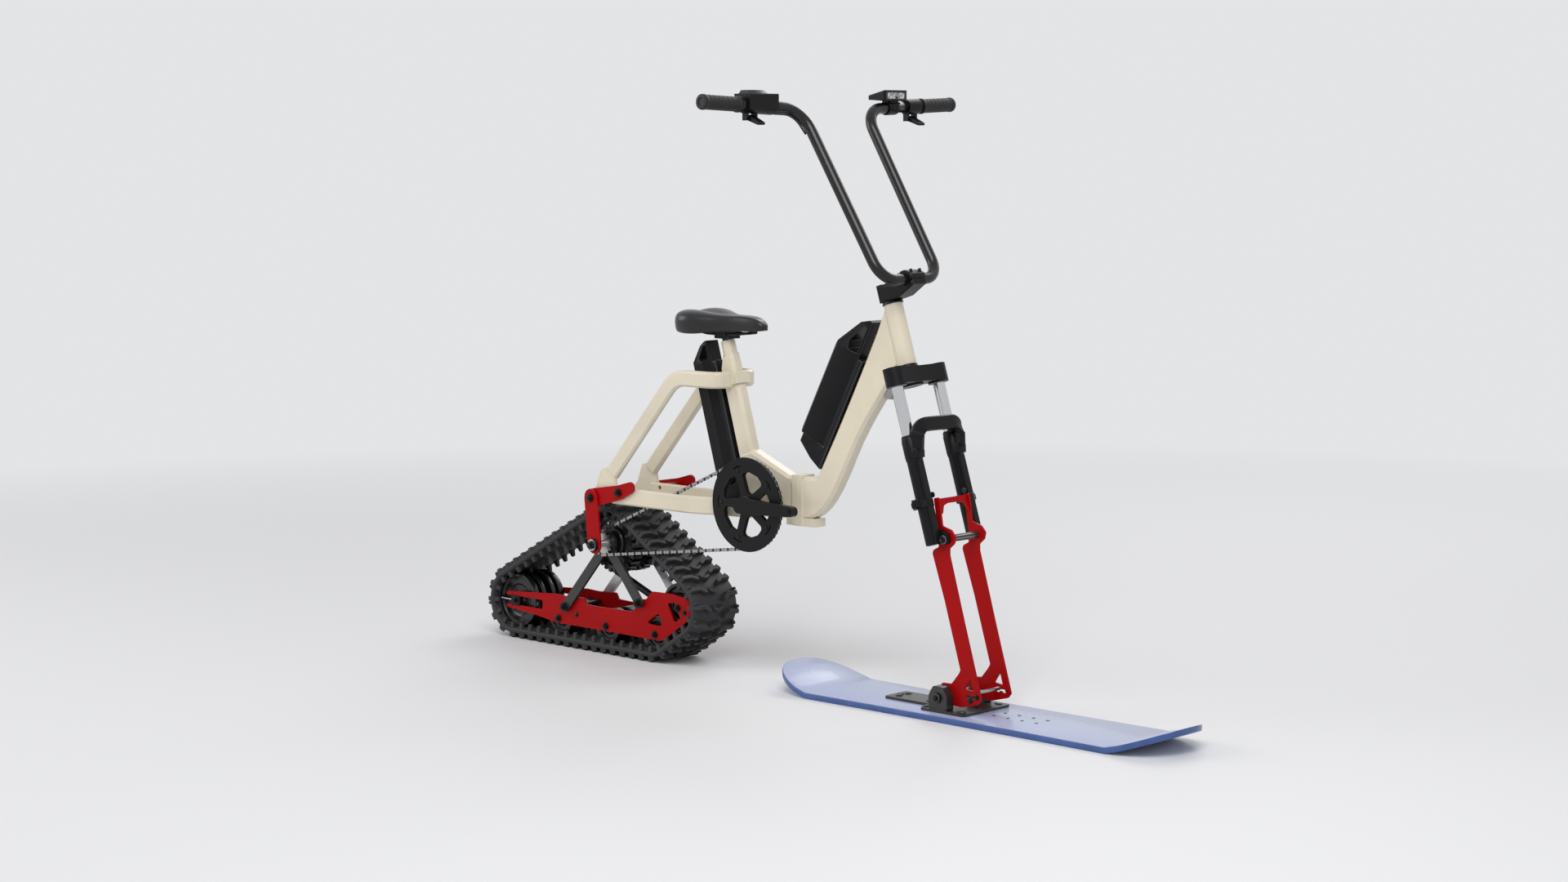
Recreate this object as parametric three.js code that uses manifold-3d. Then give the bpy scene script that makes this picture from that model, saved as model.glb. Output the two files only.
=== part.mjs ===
// Ski bike: a step-through bicycle frame on a snowboard and a rubber track kit.
// Millimetres, +X forward, +Y to the rider's left, +Z up. The pieces are laid out from the crank axis,
// with the floor at z = 0, and the whole bike is then centred on its own box.
import * as THREE from "three";
import { mergeVertices } from "three/addons/utils/BufferGeometryUtils.js";
import Module from "manifold-3d";

const wasm = await Module();
wasm.setup();

const DEGREE = Math.PI / 180;
const FULL_TURN = 2 * Math.PI;

// General sizes
const fit = 0.3; // gap between two faces that touch
const overrun = 4; // how far a cut runs past the face that it opens
const weld = 0.002;

// Flat facets round the turned pieces, from bolts up to the largest discs
const boltSides = 6;
const pinSides = 8;
const tubeSides = 12;
const roundSides = 16;
const wheelSides = 20;
const discSides = 36;

// Crank and chain drive
const crankHeight = 426;
const chainPitch = 12.7;
const ringTeeth = 52;
const sprocketTeeth = 14;
const chainlineY = -55;
const ringThickness = 2.4;
const toothHeight = 4;
const ringBandWidth = 15;
const ringSpokeWidth = 22;
const ringHubRadius = 24;
const ringSpokes = 5;
const guardOuterRadius = 113;
const guardInnerRadius = 79;
const guardThickness = 3;
const crankReach = 168;
const crankRootRadius = 19;
const crankTipRadius = 12;
const crankArmThickness = 15;
const crankAxleRadius = 11;
const chainPlateThickness = 1.1;
const chainInnerWidth = 4.6;
const chainBulge = 4.3;
const chainWaist = 3.1;
const chainPinRadius = 2.1;

// Frame, front half
const headFootX = 449;
const headFootRise = 351.5;
const headFootZ = crankHeight + headFootRise;
const headTilt = 17.4 * DEGREE;
const headLength = 142;
const headRadius = 22;
const headBoreRadius = 17;
const frameWidth = 38;
const frameRounding = 7;
const jointX = 124;
const jointTopRise = 74;
const jointFootDrop = 27;
const jointTop = crankHeight + jointTopRise;
const jointFoot = crankHeight - jointFootDrop;
const flangeThickness = 16;
const flangeLip = 16;
const flangeOverhang = 3;
const jointBoltHead = 7;
const jointHeadHeight = 5;
const downTubeDepth = 50;
const throatRun = 42;
const bellyRun = 52;
const crownClearance = 9;

// Frame, rear half
const seatFootX = -12;
const seatTopX = -123;
const seatTubeRise = 380;
const seatTopZ = crankHeight + seatTubeRise;
const shoulderDrop = 62;
const neckDrop = 32;
const seatTubeRadius = 17;
const seatTubeDepth = 50;
const seatTubeBack = 31;
const postRadius = 13.2;
const shellRadius = 21;
const shellHalfWidth = 34;
const hoopRise = 289;
const hoopZ = crankHeight + hoopRise;
const hoopRounding = 5;
const hoopBendRadius = 34;
const hoopSideY = 66;
const hoopHeight = 40;
const hoopWall = 18;
const hoopBendX = -238;
const stayFootX = -462;
const stayFootRise = 40;
const stayFootZ = crankHeight + stayFootRise;
const chainStayHeight = 42;
const chainStayWall = 14;
const chainStayDrop = 16;
const chainStayZ = crankHeight - chainStayDrop;
const chainStayFrontX = -22;
const chainStayNarrowX = -112;
const chainStayNarrowY = 40;
const chainStayWideX = -176;
const dropoutX = -491;
const dropoutThickness = 7;
const dropoutY = 70;

// Steering
const steererRadius = 14.3;
const cupRadius = 25;
const cupHeight = 7;
const crownHeight = 43;
const crownEndRadius = 24;
const crownBossRadius = 27;
const legOffset = 18;
const legSpacing = 142;
const stanchionRadius = 14;
const stemHalfWidth = 25;
const barRadius = 13;
const barClampForward = 68.7;
const barClampHeight = 182;
const barLowHalf = 98;
const barTopHalf = 106;
const barTopX = 221;
const barTopRise = 576.5;
const barTopZ = headFootZ + barTopRise;
const barEndHalf = 416;
const barEndRise = 13;
const barEndZ = barTopZ + barEndRise;
const barEndSetback = 4;
const barEndX = barTopX - barEndSetback;
const barBendRadius = 62;
const gripRadius = 17;

// Shares of the bar's straight end that the pieces on it take, counted from its tip
const barStraight = barEndHalf - barTopHalf;
const gripShare = 0.36;
const controlStartShare = 0.394;
const controlShare = 0.297;
const clampStartShare = 0.387;
const clampShare = 0.142;
const displayStartShare = 0.574;
const displayShare = 0.265;
const gripLength = barStraight * gripShare;

// Fork lowers and ski kit
const lowersTop = -167;
const lowersFoot = -414;
const lowerLegRadius = 16.5;
const archTop = -131;
const archFoot = -211;
const axleForward = 45;
const axleDrop = -408;
const armInset = 22; // from a leg's middle in to the inner face of the arm beside it
const armInnerY = legSpacing / 2 - armInset;
const armThickness = 5;
const skiPivotX = 609;
const skiPivotZ = 47;
const skiPivotRadius = 6;
const boardThickness = 14;
const boardHalfWidth = 117;
const boardWaist = 111;
const boardTailBendX = 237;
const boardTipBendX = 1101;
const boardTailLength = 134;
const boardTipLength = 139;
const boardTailLift = 48;
const boardTipLift = 46;
const basePlateThickness = 6;

// Track kit
const kitY = 25;
const driveX = -512;
const driveDrop = 143;
const driveZ = crankHeight - driveDrop;
const driveRadius = 79;
const beltThickness = 12;
const beltHalfWidth = 75;
const beltLift = 14; // height of the tread lugs under the belt
const driveLug = 15;
const bogieRadius = 42;
const bogieFrontX = -352;
const bogieSpacing = 179;
const rearIdlerRun = 166; // from the third road wheel back to the rear idler
const rearIdlerX = bogieFrontX - 2 * bogieSpacing - rearIdlerRun;
const rearIdlerRadius = 70;
const frontIdlerX = -270;
const frontIdlerZ = 144;
const frontIdlerRadius = 61;
const sidePlateY = 58;
const sidePlateThickness = 5;
const strutInnerY = 60;
const strutThickness = 8;
const linkInnerY = 100.5;
const linkThickness = 6;
const kitAxleRadius = 6;
const driveAxleRadius = 9;

// Solids from three.js geometries

// A closed geometry as a solid that can be joined and cut.
function solid(geometry) {
  const bare = geometry.index ? geometry.toNonIndexed() : geometry;
  bare.deleteAttribute("normal");
  bare.deleteAttribute("uv");
  const merged = mergeVertices(bare, weld);
  const corners = Array.from(merged.index.array);
  const kept = [];
  for (let i = 0; i < corners.length; i += 3) {
    const [a, b, c] = corners.slice(i, i + 3);
    if (a !== b && b !== c && c !== a) kept.push(a, b, c);
  }
  const source = { numProp: 3, vertProperties: merged.attributes.position.array, triVerts: new Uint32Array(kept) };
  return new wasm.Manifold(new wasm.Mesh(source));
}

function union(solids) {
  return solids.reduce((whole, piece) => whole.add(piece));
}

function cut(body, cutters) {
  return cutters.reduce((left, cutter) => left.subtract(cutter), body);
}

function geometryOf(body) {
  const made = body.getMesh();
  const geometry = new THREE.BufferGeometry();
  geometry.setAttribute("position", new THREE.BufferAttribute(new Float32Array(made.vertProperties), made.numProp));
  geometry.setIndex(new THREE.BufferAttribute(new Uint32Array(made.triVerts), 1));
  const flat = geometry.toNonIndexed();
  flat.computeVertexNormals();
  return flat;
}

function vec(x, y, z) {
  return new THREE.Vector3(x, y, z);
}

function flatPoint(x, y) {
  return new THREE.Vector2(x, y);
}

function box(lowX, lowY, lowZ, highX, highY, highZ) {
  const geometry = new THREE.BoxGeometry(highX - lowX, highY - lowY, highZ - lowZ);
  geometry.translate((lowX + highX) / 2, (lowY + highY) / 2, (lowZ + highZ) / 2);
  return solid(geometry);
}

// Corners of an outline rounded by arcs; works on flat points and on points in space.
function rounded(points, radius, steps, closed) {
  const result = [];
  const count = points.length;
  points.forEach((corner, i) => {
    if (!closed && (i === 0 || i === count - 1)) {
      result.push(corner.clone());
      return;
    }
    const before = points[(i + count - 1) % count].clone().sub(corner);
    const after = points[(i + 1) % count].clone().sub(corner);
    const reach = Math.min(radius, before.length() / 2, after.length() / 2);
    const start = corner.clone().add(before.normalize().multiplyScalar(reach));
    const end = corner.clone().add(after.normalize().multiplyScalar(reach));
    for (let k = 0; k <= steps; k += 1) {
      const t = k / steps;
      const first = start.clone().lerp(corner, t);
      const second = corner.clone().lerp(end, t);
      result.push(first.lerp(second, t));
    }
  });
  return result;
}

function shapeOf(points, holes = []) {
  const shape = new THREE.Shape(points);
  holes.forEach((hole) => shape.holes.push(new THREE.Path(hole)));
  return shape;
}

function circlePoints(x, y, radius, sides) {
  return Array.from({ length: sides }, (unused, i) => {
    const angle = ((i + 0.5) / sides) * FULL_TURN;
    return flatPoint(x + radius * Math.cos(angle), y + radius * Math.sin(angle));
  });
}

function extruded(shape, depth, bevel) {
  const options = { depth: depth - 2 * bevel, bevelEnabled: bevel > 0, bevelThickness: bevel, bevelSize: bevel };
  const geometry = new THREE.ExtrudeGeometry(shape, { ...options, bevelOffset: -bevel, bevelSegments: 1 });
  geometry.translate(0, 0, bevel);
  return geometry;
}

// A plate whose outline is drawn in x and z, standing between two y values.
function plateXZ(points, lowY, highY, { holes = [], bevel = 0 } = {}) {
  const geometry = extruded(shapeOf(points, holes), highY - lowY, bevel);
  geometry.rotateX(Math.PI / 2);
  geometry.translate(0, highY, 0);
  return solid(geometry);
}

// A plate whose outline is drawn in x and y, lying between two z values.
function plateXY(points, lowZ, highZ, { holes = [], bevel = 0 } = {}) {
  const geometry = extruded(shapeOf(points, holes), highZ - lowZ, bevel);
  geometry.translate(0, 0, lowZ);
  return solid(geometry);
}

// A turned piece on an axis along y; the profile lists radius and y.
function turnedY(profile, x, z, sides) {
  const geometry = new THREE.LatheGeometry(profile.map(([radius, y]) => flatPoint(radius, y)), sides);
  geometry.rotateY(Math.PI / sides);
  geometry.translate(x, 0, z);
  return solid(geometry);
}

// A bore whose flats stand clear of the round that it holds.
function boreFor(radius, sides) {
  return (radius + fit) / Math.cos(Math.PI / sides);
}

function pinY(x, z, radius, lowY, highY, sides) {
  return turnedY([[0, lowY], [radius, lowY], [radius, highY], [0, highY]], x, z, sides);
}

function rod(start, end, startRadius, endRadius, sides) {
  const length = start.distanceTo(end);
  const geometry = new THREE.CylinderGeometry(endRadius, startRadius, length, sides);
  const turn = new THREE.Quaternion().setFromUnitVectors(vec(0, 1, 0), end.clone().sub(start).normalize());
  geometry.applyQuaternion(turn);
  const middle = start.clone().add(end).multiplyScalar(0.5);
  geometry.translate(middle.x, middle.y, middle.z);
  return solid(geometry);
}

// A route through given points, whose rings keep the side they start with.
class Route extends THREE.Curve {
  constructor(points, side) {
    super();
    this.points = points;
    this.side = side;
  }

  getPoint(t) {
    const place = t * (this.points.length - 1);
    const low = Math.min(Math.floor(place), this.points.length - 2);
    return this.points[low].clone().lerp(this.points[low + 1], place - low);
  }

  getSpacedPoints() {
    return this.points;
  }

  computeFrenetFrames() {
    const last = this.points.length - 1;
    const tangents = this.points.map((point, i) => {
      const ahead = this.points[Math.min(i + 1, last)];
      const behind = this.points[Math.max(i - 1, 0)];
      const out = ahead.clone().sub(point).normalize();
      return out.add(point.clone().sub(behind).normalize()).normalize();
    });
    const normals = [];
    const binormals = [];
    const carried = this.side.clone();
    tangents.forEach((tangent) => {
      carried.addScaledVector(tangent, -carried.dot(tangent)).normalize();
      normals.push(carried.clone());
      binormals.push(tangent.clone().cross(carried));
    });
    return { tangents, normals, binormals };
  }
}

function swept(points, section, side) {
  const route = new Route(points, side);
  const geometry = new THREE.ExtrudeGeometry(shapeOf(section), { steps: points.length - 1, extrudePath: route });
  return solid(geometry);
}

function roundSection(radius, sides) {
  return circlePoints(0, 0, radius, sides);
}

function boxSection(halfSide, halfHeight, rounding) {
  const corners = [
    flatPoint(-halfSide, -halfHeight),
    flatPoint(halfSide, -halfHeight),
    flatPoint(halfSide, halfHeight),
    flatPoint(-halfSide, halfHeight),
  ];
  return rounded(corners, rounding, 1, true);
}

// Materials

function material(colour, roughness, metalness) {
  return new THREE.MeshStandardMaterial({ color: colour, roughness, metalness });
}

const finish = {
  frame: material(0xe3d8c2, 0.4, 0.1),
  red: material(0xa8121c, 0.45, 0.2),
  black: material(0x17181a, 0.5, 0.3),
  blackPlastic: material(0x1c1d20, 0.65, 0),
  chrome: material(0xdedede, 0.12, 1),
  steel: material(0x8d8f92, 0.35, 0.9),
  rubber: material(0x2b2c2e, 0.85, 0),
  board: material(0xc9cde2, 0.3, 0),
  saddle: material(0x131315, 0.7, 0),
};

// The nested groups: the whole bike, and the steering parts along the tilted head tube.
const bike = new THREE.Group();
const steeringFrame = new THREE.Group();
steeringFrame.position.set(headFootX, 0, headFootZ);
steeringFrame.rotation.y = -headTilt;
bike.add(steeringFrame);

function add(name, body, look, parent = bike) {
  const mesh = new THREE.Mesh(geometryOf(body), look);
  mesh.name = name;
  parent.add(mesh);
  return mesh;
}

// A place on the tilted head tube, given forward of and up its axis, as a place on the bike.
function fromSteering(forward, y, up) {
  const x = headFootX + forward * Math.cos(headTilt) - up * Math.sin(headTilt);
  const z = headFootZ + forward * Math.sin(headTilt) + up * Math.cos(headTilt);
  return vec(x, y, z);
}

// A place beside the seat tube, given up its axis and behind it.
const seatLean = Math.atan2(seatFootX - seatTopX, seatTopZ - crankHeight);

function fromSeatTube(up, behind) {
  const x = seatFootX - up * Math.sin(seatLean) - behind * Math.cos(seatLean);
  const z = crankHeight + up * Math.cos(seatLean) - behind * Math.sin(seatLean);
  return flatPoint(x, z);
}

const seatTubeLength = Math.hypot(seatFootX - seatTopX, seatTopZ - crankHeight);

// Front frame half: head tube, curved down tube and the joint flange
function frontFrame() {
  const headTop = fromSteering(0, 0, headLength);
  const headFoot = fromSteering(0, 0, 0);
  const half = frameWidth / 2;
  const backX = jointX + flangeThickness + throatRun;
  const bellyX = backX + bellyRun;
  const webTop = fromSteering(-headRadius / 2, 0, headLength - overrun);
  const outline = new THREE.Shape();
  outline.moveTo(jointX + fit, jointFoot);
  outline.lineTo(jointX + flangeThickness, jointFoot);
  outline.bezierCurveTo(
    backX + downTubeDepth / 4, jointFoot,
    bellyX, jointFoot + downTubeDepth,
    bellyX + downTubeDepth, jointFoot + 3 * downTubeDepth,
  );
  const throat = fromSteering(-headRadius / 2, 0, overrun);
  const chin = fromSteering(-headRadius - downTubeDepth, 0, -downTubeDepth);
  outline.bezierCurveTo(
    bellyX + 2 * downTubeDepth, jointFoot + 5 * downTubeDepth,
    chin.x, chin.z,
    throat.x, throat.z,
  );
  outline.lineTo(webTop.x, webTop.z);
  outline.quadraticCurveTo(webTop.x - 2 * downTubeDepth, jointTop + 4 * downTubeDepth, backX, jointTop);
  outline.lineTo(jointX + fit, jointTop);
  const points = outline.getPoints(7);
  const web = plateXZ(points, -half, half, { bevel: frameRounding });
  const head = rod(headFoot, headTop, headRadius, headRadius, roundSides);
  const flange = box(
    jointX + fit / 2, -half - flangeOverhang, jointFoot - flangeLip,
    jointX + flangeThickness, half + flangeOverhang, jointTop + flangeOverhang,
  );
  const lip = box(jointX + fit / 2, -half, jointFoot - flangeLip, backX - overrun, half, jointFoot + overrun);
  const bore = rod(
    fromSteering(0, 0, -overrun), fromSteering(0, 0, headLength + overrun), headBoreRadius, headBoreRadius, tubeSides,
  );
  const roomRadius = crownBossRadius + crownClearance;
  const crownRoom = rod(fromSteering(0, 0, -2 * crownHeight), headFoot, roomRadius, roomRadius, roundSides);
  return cut(union([web, head, flange, lip]), [bore, crownRoom]);
}

// Rear frame half: seat tube, bottom bracket shell, mid tube and the other flange
function rearFrame() {
  const half = frameWidth / 2;
  const seatHalf = seatTubeRadius;
  const back = seatTubeBack;
  const front = seatTubeDepth - seatTubeBack;
  const shoulder = seatTubeLength - shoulderDrop;
  const neck = seatTubeLength - neckDrop;
  const tubeSide = [
    fromSeatTube(-overrun, back),
    fromSeatTube(shoulder, back),
    fromSeatTube(neck, seatTubeRadius),
    fromSeatTube(neck, -seatTubeRadius),
    fromSeatTube(shoulder, -front),
    fromSeatTube(-overrun, -front),
  ];
  const deepTube = plateXZ(tubeSide.reverse(), -seatHalf, seatHalf, { bevel: frameRounding });
  const collarFoot = fromSeatTube(shoulder - seatTubeRadius, 0);
  const collarTop = fromSeatTube(seatTubeLength, 0);
  const collar = rod(vec(collarFoot.x, 0, collarFoot.y), vec(collarTop.x, 0, collarTop.y), seatTubeRadius, seatTubeRadius, tubeSides);
  const shell = pinY(0, crankHeight, shellRadius + overrun, -shellHalfWidth, shellHalfWidth, roundSides);
  const crotch = fromSeatTube(jointTop - crankHeight + seatTubeDepth, -front);
  const heel = fromSeatTube(jointFoot - crankHeight, back - overrun);
  const midOutline = [
    heel,
    flatPoint(jointX, jointFoot),
    flatPoint(jointX, jointTop),
    flatPoint(jointX - 2 * flangeThickness, jointTop - fit),
    crotch,
    fromSeatTube(jointTop - crankHeight + seatTubeDepth, back - overrun),
  ];
  const mid = plateXZ(midOutline, -half, half, { bevel: frameRounding });
  const flange = box(
    jointX - flangeThickness, -half - flangeOverhang, jointFoot - flangeLip,
    jointX - fit / 2, half + flangeOverhang, jointTop + flangeOverhang,
  );
  const lip = box(jointX - 2 * flangeThickness - overrun, -half, jointFoot - flangeLip, jointX - fit / 2, half, jointFoot + overrun);
  const trim = box(jointX - fit / 2, -seatTubeDepth * 2, 0, jointX + seatTubeDepth, seatTubeDepth * 2, seatTopZ);
  const boltZ = [jointFoot + flangeThickness, jointTop - flangeThickness];
  const bolts = boltZ.flatMap((z) => [-1, 1].map((side) => {
    const y = side * (half - jointBoltHead / 2);
    const start = vec(jointX - flangeThickness - jointHeadHeight, y, z);
    return rod(start, vec(jointX - flangeThickness + overrun, y, z), jointBoltHead, jointBoltHead, boltSides);
  }));
  const postBore = fromSeatTube(seatTubeLength + overrun, 0);
  const postBoreFoot = fromSeatTube(seatTubeLength - postInsertion - overrun, 0);
  const bore = rod(
    vec(postBoreFoot.x, 0, postBoreFoot.y), vec(postBore.x, 0, postBore.y), boreFor(postRadius, tubeSides), boreFor(postRadius, tubeSides), tubeSides,
  );
  const axleBore = pinY(0, crankHeight, boreFor(crankAxleRadius, tubeSides), -shellHalfWidth - overrun, shellHalfWidth + overrun, tubeSides);
  return cut(union([deepTube, collar, shell, mid, flange, lip, ...bolts]), [trim, bore, axleBore]);
}

// Seatpost, rails and saddle
const postInsertion = 150;
const postStub = 10;

function seatpost() {
  const foot = fromSeatTube(seatTubeLength - postInsertion, 0);
  const top = fromSeatTube(seatTubeLength + postStub, 0);
  const tube = rod(vec(foot.x, 0, foot.y), vec(top.x, 0, top.y), postRadius, postRadius, tubeSides);
  const head = box(
    top.x - clampHeadLength / 2, -clampHeadHalf, top.y - overrun,
    top.x + clampHeadLength / 2, clampHeadHalf, top.y + overrun,
  );
  return union([tube, head]);
}

const saddleLength = 250;
const saddleHalfWidth = 77;
const saddleRearX = -246;
const saddleRise = 26;
const saddleBaseZ = seatTopZ + saddleRise;
const saddleThickness = 38;
const railRadius = 3.5;
const railSpacing = 44;
const clampHeadLength = 46;
const clampHeadHalf = 21;

function saddleRails() {
  const top = fromSeatTube(seatTubeLength + postStub, 0);
  const railZ = top.y + overrun + railRadius + fit;
  const rise = saddleBaseZ - fit - railZ;
  const reach = saddleLength / 4;
  const half = railSpacing / 2;
  const route = [-1, 1].map((side) => [
    vec(top.x - reach, side * half * 1.4, railZ + rise - railRadius),
    vec(top.x - reach * 0.7, side * half * 1.3, railZ),
    vec(top.x + reach * 0.7, side * half, railZ),
    vec(top.x + reach * 1.4, side * half * 0.5, railZ + rise - railRadius),
  ]);
  const rails = route.map((points) => swept(rounded(points, reach / 5, 2, false), roundSection(railRadius, boltSides), vec(0, 1, 0)));
  const bridges = [0, 3].map((end) => rod(route[0][end], route[1][end], railRadius, railRadius, boltSides));
  const clamp = box(
    top.x - reach * 0.35, -half - railRadius * 2, railZ - railRadius,
    top.x + reach * 0.35, half + railRadius * 2, railZ + railRadius,
  );
  return union([...rails, ...bridges, clamp]);
}

// The saddle from tail to nose: along, half-width, crown, depth of the middle channel, lift of the underside
const saddleStationShares = [
  [0, 0.5, 0.6, 0, 0.14],
  [0.02, 0.74, 0.86, 0.04, 0.06],
  [0.06, 0.9, 1, 0.1, 0.02],
  [0.14, 1, 1.16, 0.16, 0],
  [0.24, 1, 1.18, 0.16, 0],
  [0.34, 0.88, 1.1, 0.14, 0],
  [0.44, 0.68, 1, 0.1, 0],
  [0.54, 0.48, 0.94, 0.05, 0.02],
  [0.66, 0.35, 0.92, 0.02, 0.06],
  [0.78, 0.29, 0.9, 0, 0.1],
  [0.88, 0.25, 0.84, 0, 0.14],
  [0.95, 0.2, 0.72, 0, 0.18],
  [1, 0.1, 0.5, 0, 0.26],
];
// Half of its section from the flat underside round the drawn-in side to the crown: across and up
const saddleSectionShares = [
  [0, 0], [0.5, 0], [0.84, 0.03], [0.95, 0.2], [1, 0.42], [0.97, 0.66], [0.86, 0.86], [0.62, 0.98], [0.34, 1],
];

function saddleRing([along, wide, crown, channel, lift]) {
  const place = ([across, up], side) => {
    const low = saddleThickness * lift;
    const high = saddleThickness * crown;
    return vec(
      saddleRearX + along * saddleLength, side * saddleHalfWidth * wide * across, saddleBaseZ + low + (high - low) * up,
    );
  };
  const middle = place([0, 1 - channel], 0);
  const right = saddleSectionShares.map((share) => place(share, 1));
  const left = saddleSectionShares.slice(1).reverse().map((share) => place(share, -1));
  return [...right, middle, ...left];
}

function saddle() {
  const rings = saddleStationShares.map(saddleRing);
  const positions = [];
  const face = (a, b, c) => [a, b, c].forEach((p) => positions.push(p.x, p.y, p.z));
  const around = rings[0].length;
  for (let i = 0; i + 1 < rings.length; i += 1) {
    for (let k = 0; k < around; k += 1) {
      const next = (k + 1) % around;
      face(rings[i][k], rings[i + 1][next], rings[i + 1][k]);
      face(rings[i][k], rings[i][next], rings[i + 1][next]);
    }
  }
  const cap = (ring, outwards) => {
    const centre = ring.reduce((sum, p) => sum.add(p), vec(0, 0, 0)).divideScalar(around);
    ring.forEach((point, k) => {
      const next = ring[(k + 1) % around];
      if (outwards) face(centre, point, next);
      else face(centre, next, point);
    });
  };
  cap(rings[0], false);
  cap(rings[rings.length - 1], true);
  const geometry = new THREE.BufferGeometry();
  geometry.setAttribute("position", new THREE.Float32BufferAttribute(positions, 3));
  return solid(geometry);
}

// Rear hoop with the upper stays: one flat tube bent round the battery and down to the axle plates
function rearHoop() {
  const frontX = fromSeatTube(hoopAlong(), 0).x;
  const start = [
    vec(stayFootX, -hoopSideY, stayFootZ),
    vec(hoopBendX, -hoopSideY, hoopZ),
    vec(frontX, -hoopSideY, hoopZ),
    vec(frontX, hoopSideY, hoopZ),
    vec(hoopBendX, hoopSideY, hoopZ),
    vec(stayFootX, hoopSideY, stayFootZ),
  ];
  const path = rounded(start, hoopBendRadius, 4, false);
  const tube = swept(path, boxSection(hoopWall / 2, hoopHeight / 2, hoopRounding), vec(0, 1, 0));
  const room = seatTubeBox(fit);
  return cut(tube, [room]).add(hoopSocket());
}

function hoopAlong() {
  return (hoopZ - crankHeight) / Math.cos(seatLean);
}

// The seat tube's box section, grown by a margin, as a cutter for what is welded on it.
function seatTubeBox(margin) {
  const front = seatTubeDepth - seatTubeBack + margin;
  const side = [
    fromSeatTube(hoopAlong() - hoopHeight, -front),
    fromSeatTube(hoopAlong() + hoopHeight, -front),
    fromSeatTube(hoopAlong() + hoopHeight, seatTubeBack + margin),
    fromSeatTube(hoopAlong() - hoopHeight, seatTubeBack + margin),
  ];
  return plateXZ(side, -seatTubeRadius - margin, seatTubeRadius + margin);
}

// The cast socket that carries the hoop on the seat tube
function hoopSocket() {
  const shell = hoopWall / 3;
  const front = seatTubeDepth - seatTubeBack;
  const tall = hoopHeight / 2 - shell;
  const side = (margin) => [
    fromSeatTube(hoopAlong() - tall, -front - margin),
    fromSeatTube(hoopAlong() + tall, -front - margin),
    fromSeatTube(hoopAlong() + tall, seatTubeBack + margin),
    fromSeatTube(hoopAlong() - tall, seatTubeBack + margin),
  ];
  const outer = plateXZ(side(shell), -seatTubeRadius - shell, seatTubeRadius + shell);
  return cut(outer, [seatTubeBox(fit)]);
}

// The end face of a hoop stay, square to the stay, where the axle plate meets it
function stayEnd() {
  const along = flatPoint(hoopBendX - stayFootX, hoopZ - stayFootZ).normalize();
  const across = flatPoint(-along.y, along.x).multiplyScalar(hoopHeight / 2);
  const foot = flatPoint(stayFootX, stayFootZ).addScaledVector(along, -fit);
  return [foot.clone().sub(across), foot.clone().add(across)];
}

// One chain stay with its axle plate; side is -1 on the right and 1 on the left
function chainStay(side) {
  const front = frameWidth / 2 + chainStayWall / 2 + fit;
  const path = [
    vec(chainStayFrontX, side * front, chainStayZ),
    vec(chainStayNarrowX, side * chainStayNarrowY, chainStayZ),
    vec(chainStayWideX, side * hoopSideY, chainStayZ),
    vec(stayFootX, side * hoopSideY, chainStayZ),
  ];
  const section = boxSection(chainStayWall / 2, chainStayHeight / 2, overrun);
  const tube = swept(rounded(path, chainStayHeight, 3, false), section, vec(0, 1, 0));
  const low = chainStayZ - chainStayHeight / 2;
  const high = chainStayZ + chainStayHeight / 2;
  const plateOutline = [
    flatPoint(stayFootX + hoopWall, low + overrun),
    flatPoint(stayFootX + hoopWall, high - overrun),
    ...stayEnd(),
    flatPoint(dropoutX - dropoutThickness, stayFootZ + dropoutThickness),
    flatPoint(dropoutX - hoopWall - dropoutThickness, chainStayZ + hoopWall),
    flatPoint(linkCornerX - 3 * linkBoltRadius, linkCornerZ + 2 * linkBoltRadius),
    flatPoint(linkCornerX - 3 * linkBoltRadius, low + overrun),
  ];
  const faces = [side * (dropoutY - dropoutThickness / 2), side * (dropoutY + dropoutThickness / 2)];
  const plate = plateXZ(plateOutline, Math.min(...faces), Math.max(...faces));
  const shellRoom = pinY(0, crankHeight, shellRadius + overrun + fit, -shellHalfWidth - fit, shellHalfWidth + fit, roundSides);
  const boltHoles = [[linkFrontX, linkFrontZ], [linkCornerX, linkCornerZ]].map(([x, z]) => (
    pinY(x, z, boreFor(linkBoltRadius, pinSides), -2 * dropoutY, 2 * dropoutY, pinSides)
  ));
  return cut(tube.add(plate), [shellRoom, ...boltHoles]);
}

// Batteries: a moulded case with a sloped head and a carrying handle, on a rail bolted to its tube.
// Places are given along the tube and out from it.
const frontBatteryStart = 80;
const frontBatteryLength = 236;
const frontBatteryDepth = 74;
const rearBatteryDepth = 56;
const frontMountSeat = 0.8; // how far the down tube bows in behind its chord at the battery's rail
const frontHandleRise = 95;
const rearHandleRise = 52;
const batteryHalfWidth = 31;
const batteryRounding = 8;
const mountDepth = 15;
const mountHalfWidth = 20;
const rearBatteryStart = 62;
const rearBatteryLength = 296;
const mountFootLength = 56;

// A frame of reference along a tube: origin, direction up the tube and direction out of it
function along(origin, target, outward) {
  const up = target.clone().sub(origin).normalize();
  const out = flatPoint(-up.y, up.x).multiplyScalar(outward);
  return (distance, away) => origin.clone().addScaledVector(up, distance).addScaledVector(out, away);
}

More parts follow.
